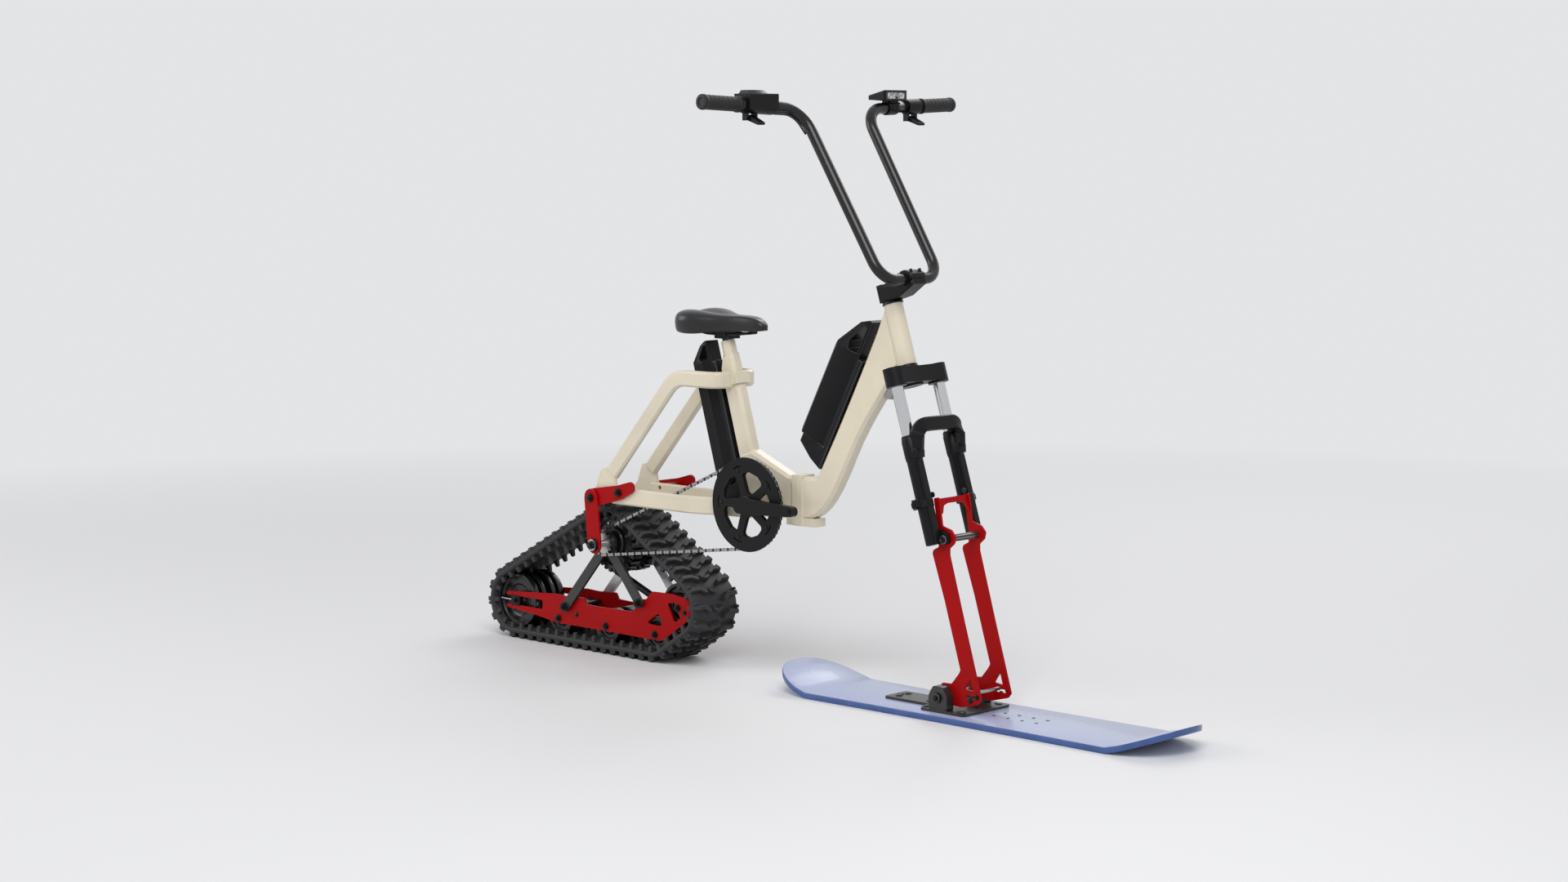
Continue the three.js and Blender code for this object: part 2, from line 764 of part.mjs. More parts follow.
// A prism drawn in two of a tube's three directions (up it, across it, out of it) and run along the third
function prismOn(place, order, points, low, high) {
  const origin = place(0, 0);
  const up = place(overrun, 0).sub(origin).normalize();
  const out = place(0, overrun).sub(origin).normalize();
  const ways = { up: vec(up.x, 0, up.y), across: vec(0, 1, 0), out: vec(out.x, 0, out.y) };
  const geometry = extruded(shapeOf(counterClockwise(points)), high - low, 0);
  geometry.translate(0, 0, low);
  geometry.applyMatrix4(new THREE.Matrix4().makeBasis(...order.map((name) => ways[name])));
  geometry.translate(origin.x, 0, origin.y);
  return solid(geometry);
}

// Side view of the case and of the finger hole in its head: shares of the handle's rise and of the depth
const caseHeadShares = [[0, 1], [0.84, 0.42], [1, 0.14], [1, 0]];
const fingerHoleShares = [[0.1, 0.1], [0.1, 0.42], [0.28, 0.52], [0.8, 0.24], [0.8, 0.1]];
const caseNarrowShare = 0.62; // half-width at the rail and at the top of the handle
const caseTaperShare = 0.34; // part of the depth over which the case widens from its rail

function batteryCase({ place, start, length, gap, depth, handleRise }) {
  const inner = gap + mountDepth + fit;
  const outer = inner + depth;
  const end = start + length;
  const top = end + handleRise;
  const narrow = batteryHalfWidth * caseNarrowShare;
  const head = caseHeadShares.map(([up, out]) => place(end + up * handleRise, inner + out * depth));
  const side = [place(start, inner), place(start, outer - batteryRounding), place(start + batteryRounding, outer), ...head];
  const shell = plateXZ(counterClockwise(side), -batteryHalfWidth, batteryHalfWidth);
  const half = [
    flatPoint(narrow, inner), flatPoint(batteryHalfWidth, inner + caseTaperShare * depth),
    flatPoint(batteryHalfWidth, outer - batteryRounding), flatPoint(batteryHalfWidth - batteryRounding, outer),
  ];
  const section = [...half, ...half.slice().reverse().map(({ x, y }) => flatPoint(-x, y))];
  const body = prismOn(place, ["across", "out", "up"], section, start - overrun, top + overrun);
  const wedges = [-1, 1].map((edge) => prismOn(place, ["up", "across", "out"], [
    flatPoint(end, edge * (batteryHalfWidth + fit)), flatPoint(top + overrun, edge * narrow),
    flatPoint(top + overrun, edge * 2 * batteryHalfWidth), flatPoint(end, edge * 2 * batteryHalfWidth),
  ], gap, outer + overrun));
  const hole = fingerHoleShares.map(([up, out]) => place(end + up * handleRise, inner + out * depth));
  const through = plateXZ(counterClockwise(hole), -batteryHalfWidth - overrun, batteryHalfWidth + overrun);
  return cut(shell.intersect(body), [...wedges, through]);
}

function counterClockwise(points) {
  const list = points.map((point) => point.clone());
  return THREE.ShapeUtils.isClockWise(list) ? list.reverse() : list;
}

// The rail on the tube with the tapered contact box that the battery's foot plugs on
function batteryMount({ place, start, length, gap, depth: caseDepth }) {
  const out = gap + mountDepth;
  const depth = out + caseDepth;
  const foot = start - mountFootLength;
  const outline = [
    place(foot, gap + fit), place(foot + mountDepth / 2, depth * 0.42), place(start - mountFootLength / 2, depth - overrun),
    place(start - fit, depth - overrun), place(start - fit, out), place(start + length, out), place(start + length, gap + fit),
  ];
  return plateXZ(counterClockwise(outline), -mountHalfWidth, mountHalfWidth, { bevel: overrun / 2 });
}

// The back edge of the down tube is drawn as a chord for the battery's rail
function downTubePlace() {
  const foot = flatPoint(jointX + flangeThickness + throatRun, jointTop);
  const top = fromSteering(-headRadius / 2, 0, headLength - overrun);
  return along(foot, flatPoint(top.x, top.z), 1);
}

function seatTubePlace() {
  return (distance, away) => fromSeatTube(distance, seatTubeBack + away);
}

function frontBatterySizes() {
  return {
    place: downTubePlace(), start: frontBatteryStart, length: frontBatteryLength, gap: -frontMountSeat,
    depth: frontBatteryDepth, handleRise: frontHandleRise,
  };
}

function rearBatterySizes() {
  return {
    place: seatTubePlace(), start: rearBatteryStart, length: rearBatteryLength, gap: hoopWall / 3 + fit,
    depth: rearBatteryDepth, handleRise: rearHandleRise,
  };
}

// Headset cups, one at each end of the head tube
function headsetCup(low, high) {
  const cup = rod(vec(0, 0, low), vec(0, 0, high), cupRadius, cupRadius - overrun / 2, roundSides);
  const bore = rod(vec(0, 0, low - overrun), vec(0, 0, high + overrun), boreFor(steererRadius, tubeSides), boreFor(steererRadius, tubeSides), tubeSides);
  return cut(cup, [bore]);
}

// Fork crown: a bridge with a round boss on the steerer and a round end on each chromed tube
const crownTop = -cupHeight - 2 * fit;
const crownFoot = crownTop - crownHeight;
const stanchionFoot = -330;

function forkCrown() {
  const half = legSpacing / 2;
  const boss = plateXY(circlePoints(0, 0, crownBossRadius, roundSides), crownFoot, crownTop);
  const ends = [-1, 1].map((side) => (
    plateXY(circlePoints(legOffset, side * half, crownEndRadius, roundSides), crownFoot, crownTop)
  ));
  const slim = crownEndRadius * 0.8;
  const bridge = [
    flatPoint(-crownBossRadius * 0.7, -crownBossRadius * 0.7), flatPoint(legOffset - slim, -half),
    flatPoint(legOffset + crownEndRadius, -half), flatPoint(legOffset + crownEndRadius * 0.8, 0),
    flatPoint(legOffset + crownEndRadius, half), flatPoint(legOffset - slim, half),
    flatPoint(-crownBossRadius * 0.7, crownBossRadius * 0.7),
  ];
  const web = plateXY(counterClockwise(bridge), crownFoot + overrun, crownTop - overrun / 2);
  const steererTop = stemFoot + stemRise;
  const steerer = rod(vec(0, 0, crownFoot), vec(0, 0, steererTop), steererRadius, steererRadius, tubeSides);
  const sockets = [-1, 1].map((side) => rod(
    vec(legOffset, side * half, crownFoot - overrun), vec(legOffset, side * half, crownTop - overrun),
    boreFor(stanchionRadius, tubeSides), boreFor(stanchionRadius, tubeSides), tubeSides,
  ));
  return cut(union([boss, ...ends, web, steerer]), sockets);
}

function stanchion(side) {
  const y = side * legSpacing / 2;
  return rod(vec(legOffset, y, stanchionFoot), vec(legOffset, y, crownTop - overrun - fit), stanchionRadius, stanchionRadius, tubeSides);
}

// Stem: a forged wedge clamped on the steerer, with a capped clamp for the bar
const stemFoot = headLength + cupHeight + 2 * fit;
const stemRise = 41;
const stemReach = 92;
const stemBack = 20;
const stemNose = 24;
const capBoltRadius = 3.5;
function stem() {
  const seat = barClampHeight - barRadius * 0.4;
  const side = [
    flatPoint(-stemBack, stemFoot), flatPoint(stemReach / 2, stemFoot), flatPoint(stemReach, seat - stemNose * 0.5),
    flatPoint(stemReach, seat), flatPoint(barClampForward - barRadius * 2, seat),
    flatPoint(-stemBack / 4, stemFoot + stemRise), flatPoint(-stemBack, stemFoot + stemRise),
  ];
  const wedge = plateXZ(counterClockwise(side), -stemHalfWidth, stemHalfWidth, { bevel: overrun });
  const cap = plateXZ(
    rounded([
      flatPoint(stemReach, seat + fit), flatPoint(stemReach, seat + barRadius * 1.1),
      flatPoint(barClampForward + barRadius / 2, seat + barRadius * 2), flatPoint(barClampForward - barRadius / 2, seat + barRadius * 2),
      flatPoint(barClampForward - barRadius * 1.8, seat + barRadius * 1.1), flatPoint(barClampForward - barRadius * 1.8, seat + fit),
    ], overrun, 2, true),
    -stemHalfWidth, stemHalfWidth, { bevel: overrun / 2 },
  );
  const bolts = [-1, 1].flatMap((end) => [-1, 1].map((edge) => {
    const x = barClampForward + end * barRadius * 1.4;
    const y = edge * stemHalfWidth * 0.6;
    return rod(vec(x, y, seat - overrun), vec(x, y, seat + barRadius * 1.9), capBoltRadius, capBoltRadius, boltSides);
  }));
  const barBore = turnedY(
    [[0, -stemHalfWidth * 2], [boreFor(barRadius, tubeSides), -stemHalfWidth * 2], [boreFor(barRadius, tubeSides), stemHalfWidth * 2], [0, stemHalfWidth * 2]],
    barClampForward, barClampHeight, tubeSides,
  );
  const steererBore = rod(
    vec(0, 0, stemFoot - overrun), vec(0, 0, stemFoot + stemRise + overrun), boreFor(steererRadius, tubeSides), boreFor(steererRadius, tubeSides), tubeSides,
  );
  return cut(union([wedge, cap, ...bolts]), [barBore, steererBore]);
}

// Handlebar: one bent tube, up from the clamp on both sides and out to the grips
function barPath() {
  const clamp = fromSteering(barClampForward, 0, barClampHeight);
  const right = [
    vec(clamp.x, 0, clamp.z), vec(clamp.x, -barLowHalf, clamp.z),
    vec(barTopX, -barTopHalf, barTopZ), vec(barEndX, -barEndHalf, barEndZ),
  ];
  const half = rounded(right, barBendRadius, 5, false);
  const mirrored = half.slice(1).map((point) => vec(point.x, -point.y, point.z));
  return [...half.slice(1).reverse(), ...mirrored];
}

function handlebar() {
  return swept(barPath(), roundSection(barRadius, tubeSides), vec(0, 0, 1));
}

// A place on the straight end of the bar, given as a distance from its end; side as before
function onBar(side, fromEnd) {
  const end = vec(barEndX, side * barEndHalf, barEndZ);
  const knee = vec(barTopX, side * barTopHalf, barTopZ);
  return end.lerp(knee, fromEnd / end.distanceTo(knee));
}

// A turned piece along the straight end of the bar; the profile lists radius and distance from the end
function turnedOnBar(side, profile, sides) {
  const geometry = new THREE.LatheGeometry(profile.map(([radius, away]) => flatPoint(radius, away)), sides);
  const way = onBar(side, gripLength).sub(onBar(side, 0)).normalize();
  geometry.applyQuaternion(new THREE.Quaternion().setFromUnitVectors(vec(0, 1, 0), way));
  const end = onBar(side, 0);
  geometry.translate(end.x, end.y, end.z);
  return solid(geometry);
}

function sleeve(side, from, to, radius, sides) {
  const body = rod(onBar(side, from), onBar(side, to), radius, radius, sides);
  const bore = rod(onBar(side, from - overrun), onBar(side, to + overrun), boreFor(barRadius, tubeSides), boreFor(barRadius, tubeSides), tubeSides);
  return cut(body, [bore]);
}

const gripRings = 7;
const gripRidge = 1.2;
const gripCapThickness = 4;

function grip(side) {
  const bore = boreFor(barRadius, tubeSides);
  const spacing = gripLength / gripRings;
  const ridges = Array.from({ length: gripRings }, (unused, i) => [
    [gripRadius + gripRidge, (i + 0.3) * spacing],
    [gripRadius, (i + 0.9) * spacing],
  ]).flat();
  return turnedOnBar(side, [
    [0, -gripCapThickness], [gripRadius - overrun, -gripCapThickness], [gripRadius - gripRidge, -fit], [gripRadius, gripRidge],
    ...ridges, [bore, gripLength], [bore, -fit], [0, -fit],
  ], tubeSides);
}

// Right control box round the bar, with a thumb lever on a pin under it
const controlStart = barStraight * controlStartShare;
const controlLength = barStraight * controlShare;
const controlBoxHeight = 34;
const leverPinRadius = 3;
const leverLength = 34;
const leverPinDrop = 28;
const leverEar = 7;
const leverWidth = 20;

function controlBox() {
  const low = onBar(-1, controlStart);
  const high = onBar(-1, controlStart + controlLength);
  const collar = sleeve(-1, controlStart, controlStart + controlLength, barRadius * 1.45, tubeSides);
  const caseRaw = box(
    low.x - controlBoxHeight * 0.7, low.y, low.z - barRadius * 0.8,
    low.x + controlBoxHeight * 0.75, high.y, low.z + controlBoxHeight * 0.72,
  );
  const slopeCut = rod(
    vec(low.x + controlBoxHeight * 1.5, low.y - overrun, low.z + controlBoxHeight * 1.15),
    vec(low.x + controlBoxHeight * 1.5, high.y + overrun, low.z + controlBoxHeight * 1.15), controlBoxHeight * 0.9, controlBoxHeight * 0.9, tubeSides,
  );
  const bore = rod(onBar(-1, controlStart - overrun), onBar(-1, controlStart + controlLength + overrun), boreFor(barRadius, tubeSides), boreFor(barRadius, tubeSides), tubeSides);
  const pinZ = low.z - leverPinDrop;
  const ears = [0, 1].map((end) => {
    const y = low.y + overrun * 2 + end * (leverWidth + leverEar + 2 * fit);
    return box(low.x - leverEar, y, pinZ - leverEar, low.x + leverEar, y + leverEar, low.z - barRadius * 0.6);
  });
  const pin = pinY(low.x, pinZ, leverPinRadius, low.y + overrun * 2 + leverEar / 2, low.y + overrun * 2 + leverWidth + leverEar * 1.5 + 2 * fit, pinSides);
  return union([cut(union([collar, cut(caseRaw, [slopeCut]), ...ears]), [bore]), pin]);
}

// A lever of the reach given, hung on a pin under the bar; it points forward and down
function barLever(side, start, reach) {
  const at = onBar(side, start);
  const pinZ = at.z - leverPinDrop;
  const inner = at.y - side * (overrun * 2 + leverEar + fit);
  const faces = [inner, inner - side * leverWidth];
  const span = [Math.min(...faces), Math.max(...faces)];
  const tip = flatPoint(at.x + reach, pinZ - reach * 0.4);
  const blade = barXZ(flatPoint(at.x, pinZ), tip, leverEar * 0.85, leverEar / 2, ...span);
  const eye = pinY(at.x, pinZ, boreFor(leverPinRadius, pinSides), span[0] - overrun, span[1] + overrun, pinSides);
  return cut(blade, [eye]);
}

// Left clamp with its short lever
const clampStart = barStraight * clampStartShare;
const clampLength = barStraight * clampShare;

function leftClamp() {
  const at = onBar(1, clampStart);
  const pinZ = at.z - leverPinDrop;
  const collar = sleeve(1, clampStart, clampStart + clampLength, barRadius * 1.4, tubeSides);
  const ears = [0, 1].map((end) => {
    const y = at.y - overrun * 2 - end * (leverWidth + leverEar + 2 * fit);
    return box(at.x - leverEar, y - leverEar, pinZ - leverEar, at.x + leverEar, y, at.z - barRadius * 1.1);
  });
  const pin = pinY(at.x, pinZ, leverPinRadius, at.y - overrun * 2 - leverWidth - leverEar * 1.5 - 2 * fit, at.y - overrun * 2 - leverEar / 2, pinSides);
  const bore = rod(
    onBar(1, clampStart - overrun), onBar(1, clampStart + clampLength + overrun),
    boreFor(barRadius, tubeSides), boreFor(barRadius, tubeSides), tubeSides,
  );
  return cut(union([collar, ...ears]), [bore]).add(pin);
}

// Display: a tilted case on a band round the left side of the bar, with its short lead looped down
const displayStart = barStraight * displayStartShare;
const displayLength = barStraight * displayShare;
const displayDepth = 46;
const displayThickness = 17;
const leadRadius = 1.8;

function display() {
  const middle = onBar(1, displayStart + displayLength / 2);
  const band = sleeve(1, displayStart + displayLength * 0.3, displayStart + displayLength * 0.7, barRadius * 1.3, tubeSides);
  const low = middle.z + barRadius * 1.2;
  const side = [
    flatPoint(middle.x - displayDepth * 0.7, low + displayThickness * 0.2), flatPoint(middle.x + displayDepth * 0.4, low),
    flatPoint(middle.x + displayDepth * 0.4, low + displayThickness * 1.5), flatPoint(middle.x - displayDepth * 0.7, low + displayThickness * 0.8),
  ];
  const shell = plateXZ(
    counterClockwise(side), middle.y - displayLength / 2, middle.y + displayLength / 2, { bevel: gripRidge * 2 },
  );
  const foot = box(
    middle.x - barRadius, middle.y - displayLength * 0.15, middle.z + barRadius * 0.9,
    middle.x + barRadius, middle.y + displayLength * 0.15, low + displayThickness * 0.4,
  );
  const bore = rod(onBar(1, displayStart - overrun), onBar(1, displayStart + displayLength + overrun), boreFor(barRadius, tubeSides), boreFor(barRadius, tubeSides), tubeSides);
  const out = middle.x + displayDepth * 0.4 - leadRadius;
  const lead = rounded([
    vec(out - leadRadius, middle.y, low + displayThickness * 0.6), vec(out + overrun * 2, middle.y, low + displayThickness * 0.5),
    vec(out + overrun * 2, middle.y, middle.z - barRadius), vec(middle.x + barRadius * 1.1, middle.y, middle.z - barRadius / 2),
  ], overrun * 2, 3, false);
  return cut(union([band, foot, shell, swept(lead, roundSection(leadRadius, boltSides), vec(0, 1, 0))]), [bore]);
}

// Control cable: from the control box along the inside of the right bend, clipped, and into the bar
const cableRadius = 2.4;
const cableGap = 0.5;
const cableLean = 0.25; // how far forward of straight down the cable hangs on the bar

function controlCable() {
  const start = onBar(-1, controlStart + controlLength + fit);
  const line = barPath().filter((point) => point.y < 0 && point.z > barTopZ - barBendRadius * 1.1);
  const below = barRadius + cableRadius + cableGap;
  const track = line.filter((point) => point.y > start.y + overrun).reverse()
    .map((point, i, list) => {
      const ahead = list[Math.min(i + 1, list.length - 1)].clone().sub(list[Math.max(i - 1, 0)]).normalize();
      const under = vec(cableLean, 0, -1);
      under.addScaledVector(ahead, -under.dot(ahead)).normalize();
      return point.clone().addScaledVector(under, below);
    });
  const first = start.clone().add(vec(barRadius * cableLean, 0, -below));
  return swept([first, ...track.reverse()], roundSection(cableRadius, boltSides), vec(0, 1, 0));
}

// Fork lowers: two legs, an arch in front, a clamp round each leg and the axle lugs
const archBand = 32;
const archReach = 33;
const clampCentre = -320;
const clampHalfHeight = 9;
const clampRadius = 22;
const clampTail = 36;
const lugThickness = 8;
const forkTravel = 60;
const crossAxleRadius = 6;

function forkLowers() {
  const half = legSpacing / 2;
  const solids = [-1, 1].flatMap((side) => {
    const y = side * half;
    const leg = rod(vec(legOffset, y, lowersFoot), vec(legOffset, y, lowersTop), lowerLegRadius, lowerLegRadius, tubeSides);
    const web = plateXZ([
      flatPoint(legOffset, archFoot - archBand * 4), flatPoint(legOffset + lowerLegRadius + overrun / 2, archFoot - archBand * 3),
      flatPoint(legOffset + lowerLegRadius + overrun, archFoot), flatPoint(legOffset, archFoot + overrun),
    ], y - lugThickness / 2, y + lugThickness / 2);
    const collar = rod(
      vec(legOffset, y, clampCentre - clampHalfHeight), vec(legOffset, y, clampCentre + clampHalfHeight), clampRadius, clampRadius, tubeSides,
    );
    const tail = box(
      legOffset - clampRadius * 0.5, Math.min(y, y + side * clampTail), clampCentre - clampHalfHeight * 0.7,
      legOffset + clampRadius * 0.3, Math.max(y, y + side * clampTail), clampCentre + clampHalfHeight * 0.7,
    );
    const innerSide = side * (armInnerY + armThickness + fit);
    const outerSide = innerSide + side * lugThickness;
    const lug = plateXZ(rounded([
      flatPoint(legOffset - lowerLegRadius * 0.4, axleDrop + archBand * 0.9), flatPoint(legOffset - lowerLegRadius * 0.4, axleDrop - overrun),
      flatPoint(axleForward + lugThickness, axleDrop - lugThickness * 1.4), flatPoint(axleForward + lugThickness * 1.4, axleDrop + lugThickness),
    ], overrun, 2, true), Math.min(innerSide, outerSide), Math.max(innerSide, outerSide));
    return [leg, web, collar, tail, lug];
  });
  const archOuter = [
    vec(legOffset + archReach * 0.5, -half, archFoot), vec(legOffset + archReach, -half, archTop - archBand / 2),
    vec(legOffset + archReach, half, archTop - archBand / 2), vec(legOffset + archReach * 0.5, half, archFoot),
  ];
  const arch = swept(rounded(archOuter, archBand, 4, false), boxSection(archBand / 2, archBand * 0.26, overrun), vec(0, 1, 0));
  const feet = [-1, 1].map((side) => box(
    legOffset, side * half - archBand * 0.42, archFoot - lugThickness,
    legOffset + archReach * 0.75, side * half + archBand * 0.42, archFoot + lugThickness,
  ));
  const bores = [-1, 1].map((side) => rod(
    vec(legOffset, side * half, stanchionFoot - forkTravel - overrun), vec(legOffset, side * half, lowersTop + overrun),
    boreFor(stanchionRadius, tubeSides), boreFor(stanchionRadius, tubeSides), tubeSides,
  ));
  const tubeRoom = [-1, 1].map((side) => rod(
    vec(legOffset, side * half, lowersTop - overrun), vec(legOffset, side * half, crownFoot),
    boreFor(stanchionRadius, tubeSides), boreFor(stanchionRadius, tubeSides), tubeSides,
  ));
  const axleHole = pinY(axleForward, axleDrop, boreFor(crossAxleRadius, pinSides), -half - clampTail, half + clampTail, pinSides);
  const armRoom = box(
    legOffset + lowerLegRadius, -armInnerY - armThickness - fit, lowersFoot - overrun,
    legOffset + clampRadius * 2, armInnerY + armThickness + fit, clampCentre + clampRadius * 2,
  );
  return cut(union([...solids, arch, ...feet]), [...bores, ...tubeRoom, axleHole, armRoom]);
}

// Ski arms: laser-cut plates from the fork's axle lugs down to the ski's pivot
const armWidth = 48;
const armTop = -312;
const armKinkDrop = -690;
const armBulge = 22;
const skiEyeRadius = 20;

function skiArmOutline() {
  const at = (forward, up) => {
    const place = fromSteering(forward, 0, up);
    return flatPoint(place.x, place.z);
  };
  const front = legOffset + lowerLegRadius;
  return [
    at(front + fit, armTop), at(front - overrun * 0.5, armTop - armWidth), at(axleForward - armBulge, axleDrop + overrun),
    at(axleForward - armBulge * 1.7, axleDrop - armWidth), at(0, axleDrop - 2 * armWidth), at(overrun, armKinkDrop),
    flatPoint(skiPivotX - skiEyeRadius * 0.4, skiPivotZ + skiEyeRadius * 1.5),
    flatPoint(skiPivotX - skiEyeRadius, skiPivotZ), flatPoint(skiPivotX - skiEyeRadius * 0.6, skiPivotZ - skiEyeRadius * 0.8),
    flatPoint(skiPivotX + skiEyeRadius * 2.6, skiPivotZ - skiEyeRadius * 0.9),
    flatPoint(skiPivotX + armWidth * 2, skiPivotZ - skiEyeRadius * 0.2), flatPoint(skiPivotX + armWidth * 2.28, skiPivotZ + skiEyeRadius * 0.4),
    at(armWidth * 1.02, armKinkDrop + armWidth * 0.2), at(armWidth * 0.98, axleDrop - armWidth * 1.6), at(axleForward + armBulge * 0.9, axleDrop - armBulge * 0.9),
    at(axleForward + armBulge * 1.25, axleDrop), at(axleForward + armBulge * 0.8, axleDrop + armBulge * 0.9),
    at(front + armBulge * 0.5, axleDrop + armWidth), at(front + armBulge * 0.5, armTop),
  ];
}

function skiArm(side) {
  const faces = [side * armInnerY, side * (armInnerY + armThickness)];
  const span = [Math.min(...faces), Math.max(...faces)];
  const through = [span[0] - overrun, span[1] + overrun];
  const plate = plateXZ(counterClockwise(skiArmOutline()), ...span);
  const windowFoot = skiPivotZ + skiEyeRadius;
  const windowOutline = rounded([
    flatPoint(tieRodX - skiEyeRadius * 0.7, windowFoot + overrun), flatPoint(tieRodX + skiEyeRadius * 0.8, windowFoot + overrun),
    flatPoint(tieRodX + skiEyeRadius * 0.1, windowFoot + skiEyeRadius * 1.6),
  ], overrun, 2, true);
  const slotOutline = rounded([
    flatPoint(tieRodX - skiEyeRadius * 0.6, skiPivotZ + overrun), flatPoint(tieRodX + skiEyeRadius, skiPivotZ + overrun),
    flatPoint(tieRodX + skiEyeRadius, windowFoot - overrun * 2), flatPoint(tieRodX - skiEyeRadius * 0.6, windowFoot - overrun * 2),
  ], overrun / 2, 2, true);
  const axlePlace = fromSteering(axleForward, 0, axleDrop);
  return cut(plate, [
    plateXZ(counterClockwise(windowOutline), ...through),
    plateXZ(counterClockwise(slotOutline), ...through),
    pinY(skiPivotX, skiPivotZ, boreFor(skiPivotRadius, tubeSides), ...through, tubeSides),
    pinY(axlePlace.x, axlePlace.z, boreFor(crossAxleRadius, pinSides), ...through, pinSides),
  ]);
}

const tieRodX = 684;
const bridgeDepth = 10;

// The bent bridge that ties the arms in front of the fork legs
function armBridge() {
  const inner = armInnerY - fit;
  const front = legOffset + lowerLegRadius;
  const low = armTop - armWidth * 0.55;
  const high = armTop - overrun;
  const across = box(front, -inner, low, front + bridgeDepth, inner, high);
  const tabs = [-1, 1].map((side) => box(
    front - overrun * 0.4, Math.min(side * inner, side * (inner - bridgeDepth)), low - armWidth * 0.2,
    front + bridgeDepth, Math.max(side * inner, side * (inner - bridgeDepth)), high,
  ));
  const slot = box(front - overrun, -inner * 0.62, low - overrun, front + bridgeDepth + overrun, inner * 0.62, low + bridgeDepth * 0.7);
  const heads = [-1, 1].map((side) => rod(
    vec(front + bridgeDepth - overrun, side * inner * 0.72, high - bridgeDepth), vec(front + bridgeDepth + overrun, side * inner * 0.72, high - bridgeDepth),
    jointBoltHead * 0.8, jointBoltHead * 0.8, boltSides,
  ));
  return cut(union([across, ...tabs, ...heads]), [slot]);
}

const boltHeadDepth = 6;

// A bolt through both plates with a spacer between them, a head and a nut; lengths are half-spans
function plateBolt(boltRadius, spacerRadius, inner, outer, boltHeadRadius) {
  const gap = inner - fit;
  const face = outer + fit;
  return [
    [0, -face - boltHeadDepth], [boltHeadRadius, -face - boltHeadDepth], [boltHeadRadius, -face], [boltRadius, -face],
    [boltRadius, -gap], [spacerRadius, -gap], [spacerRadius, gap], [boltRadius, gap],
    [boltRadius, face], [boltHeadRadius, face], [boltHeadRadius, face + boltHeadDepth], [0, face + boltHeadDepth],
  ];
}

function crossAxle() {
  const outer = armInnerY + armThickness + fit + lugThickness;
  const profile = plateBolt(crossAxleRadius, crossAxleRadius * 1.4, armInnerY, outer, crossAxleRadius * 1.7);
  return turnedY(profile, axleForward, axleDrop, pinSides);
}

function skiPivotBolt() {
  const profile = plateBolt(skiPivotRadius, skiPivotRadius * 1.5, armInnerY, blockOuterY, skiPivotRadius * 1.6);
  return turnedY(profile, skiPivotX, skiPivotZ, tubeSides);
}

const tieRodRadius = 4.5;

function tieRod() {
  const z = skiPivotZ + skiEyeRadius - tieRodRadius * 1.3;
  const gap = armInnerY - fit;
  return turnedY([[0, -gap], [tieRodRadius, -gap], [tieRodRadius, gap], [0, gap]], tieRodX, z, pinSides);
}

// Base plate on the board, with a block outside each arm that carries the pivot bolt
const blockOuterY = 78;
const blockHalfLength = 27;
const blockHeight = 26;
const basePlateBackX = 414;
const basePlateStepX = 560;
const basePlateFrontX = 688;
const basePlateNarrow = 38;
const basePlateWide = 82;
const boardBoltRadius = 9;

function basePlate() {
  const low = boardThickness + fit;
  const high = low + basePlateThickness;
  const outline = rounded([
    flatPoint(basePlateBackX, -basePlateNarrow), flatPoint(basePlateStepX - overrun * 2, -basePlateNarrow),
    flatPoint(basePlateStepX, -basePlateWide), flatPoint(basePlateFrontX, -basePlateWide),
    flatPoint(basePlateFrontX, basePlateWide), flatPoint(basePlateStepX, basePlateWide),
    flatPoint(basePlateStepX - overrun * 2, basePlateNarrow), flatPoint(basePlateBackX, basePlateNarrow),
  ], overrun * 2, 2, true);
  const plate = plateXY(outline, low, high);
  const blocks = [-1, 1].map((side) => {
    const faces = [side * (armInnerY + armThickness + fit), side * blockOuterY];
    const profile = rounded([
      flatPoint(skiPivotX - blockHalfLength, high - fit), flatPoint(skiPivotX + blockHalfLength, high - fit),
      flatPoint(skiPivotX + blockHalfLength, skiPivotZ + overrun), flatPoint(skiPivotX + blockHalfLength / 2, skiPivotZ + blockHeight),
      flatPoint(skiPivotX - blockHalfLength / 2, skiPivotZ + blockHeight), flatPoint(skiPivotX - blockHalfLength, skiPivotZ + overrun),
    ], overrun, 2, true);
    return plateXZ(profile, Math.min(...faces), Math.max(...faces));
  });
  const boltPlaces = [[basePlateBackX + boardBoltRadius * 2, 0], [basePlateStepX - boardBoltRadius * 3, 0],
    [basePlateFrontX - boardBoltRadius * 2, -basePlateWide + boardBoltRadius * 2],
    [basePlateFrontX - boardBoltRadius * 2, basePlateWide - boardBoltRadius * 2]];
  const heads = boltPlaces.map(([x, y]) => rod(vec(x, y, high - fit), vec(x, y, high + basePlateThickness / 2), boardBoltRadius, boardBoltRadius * 0.8, pinSides));
  const eye = pinY(skiPivotX, skiPivotZ, boreFor(skiPivotRadius, tubeSides), -blockOuterY - overrun, blockOuterY + overrun, tubeSides);
  return cut(union([plate, ...blocks, ...heads]), [eye]);
}

// Snowboard: sheets pressed to one outline, with a kick at both ends and a slim waist
const boardEndSteps = 9;
const boardKickShare = 1.2;
const boardEndShare = 2.3;

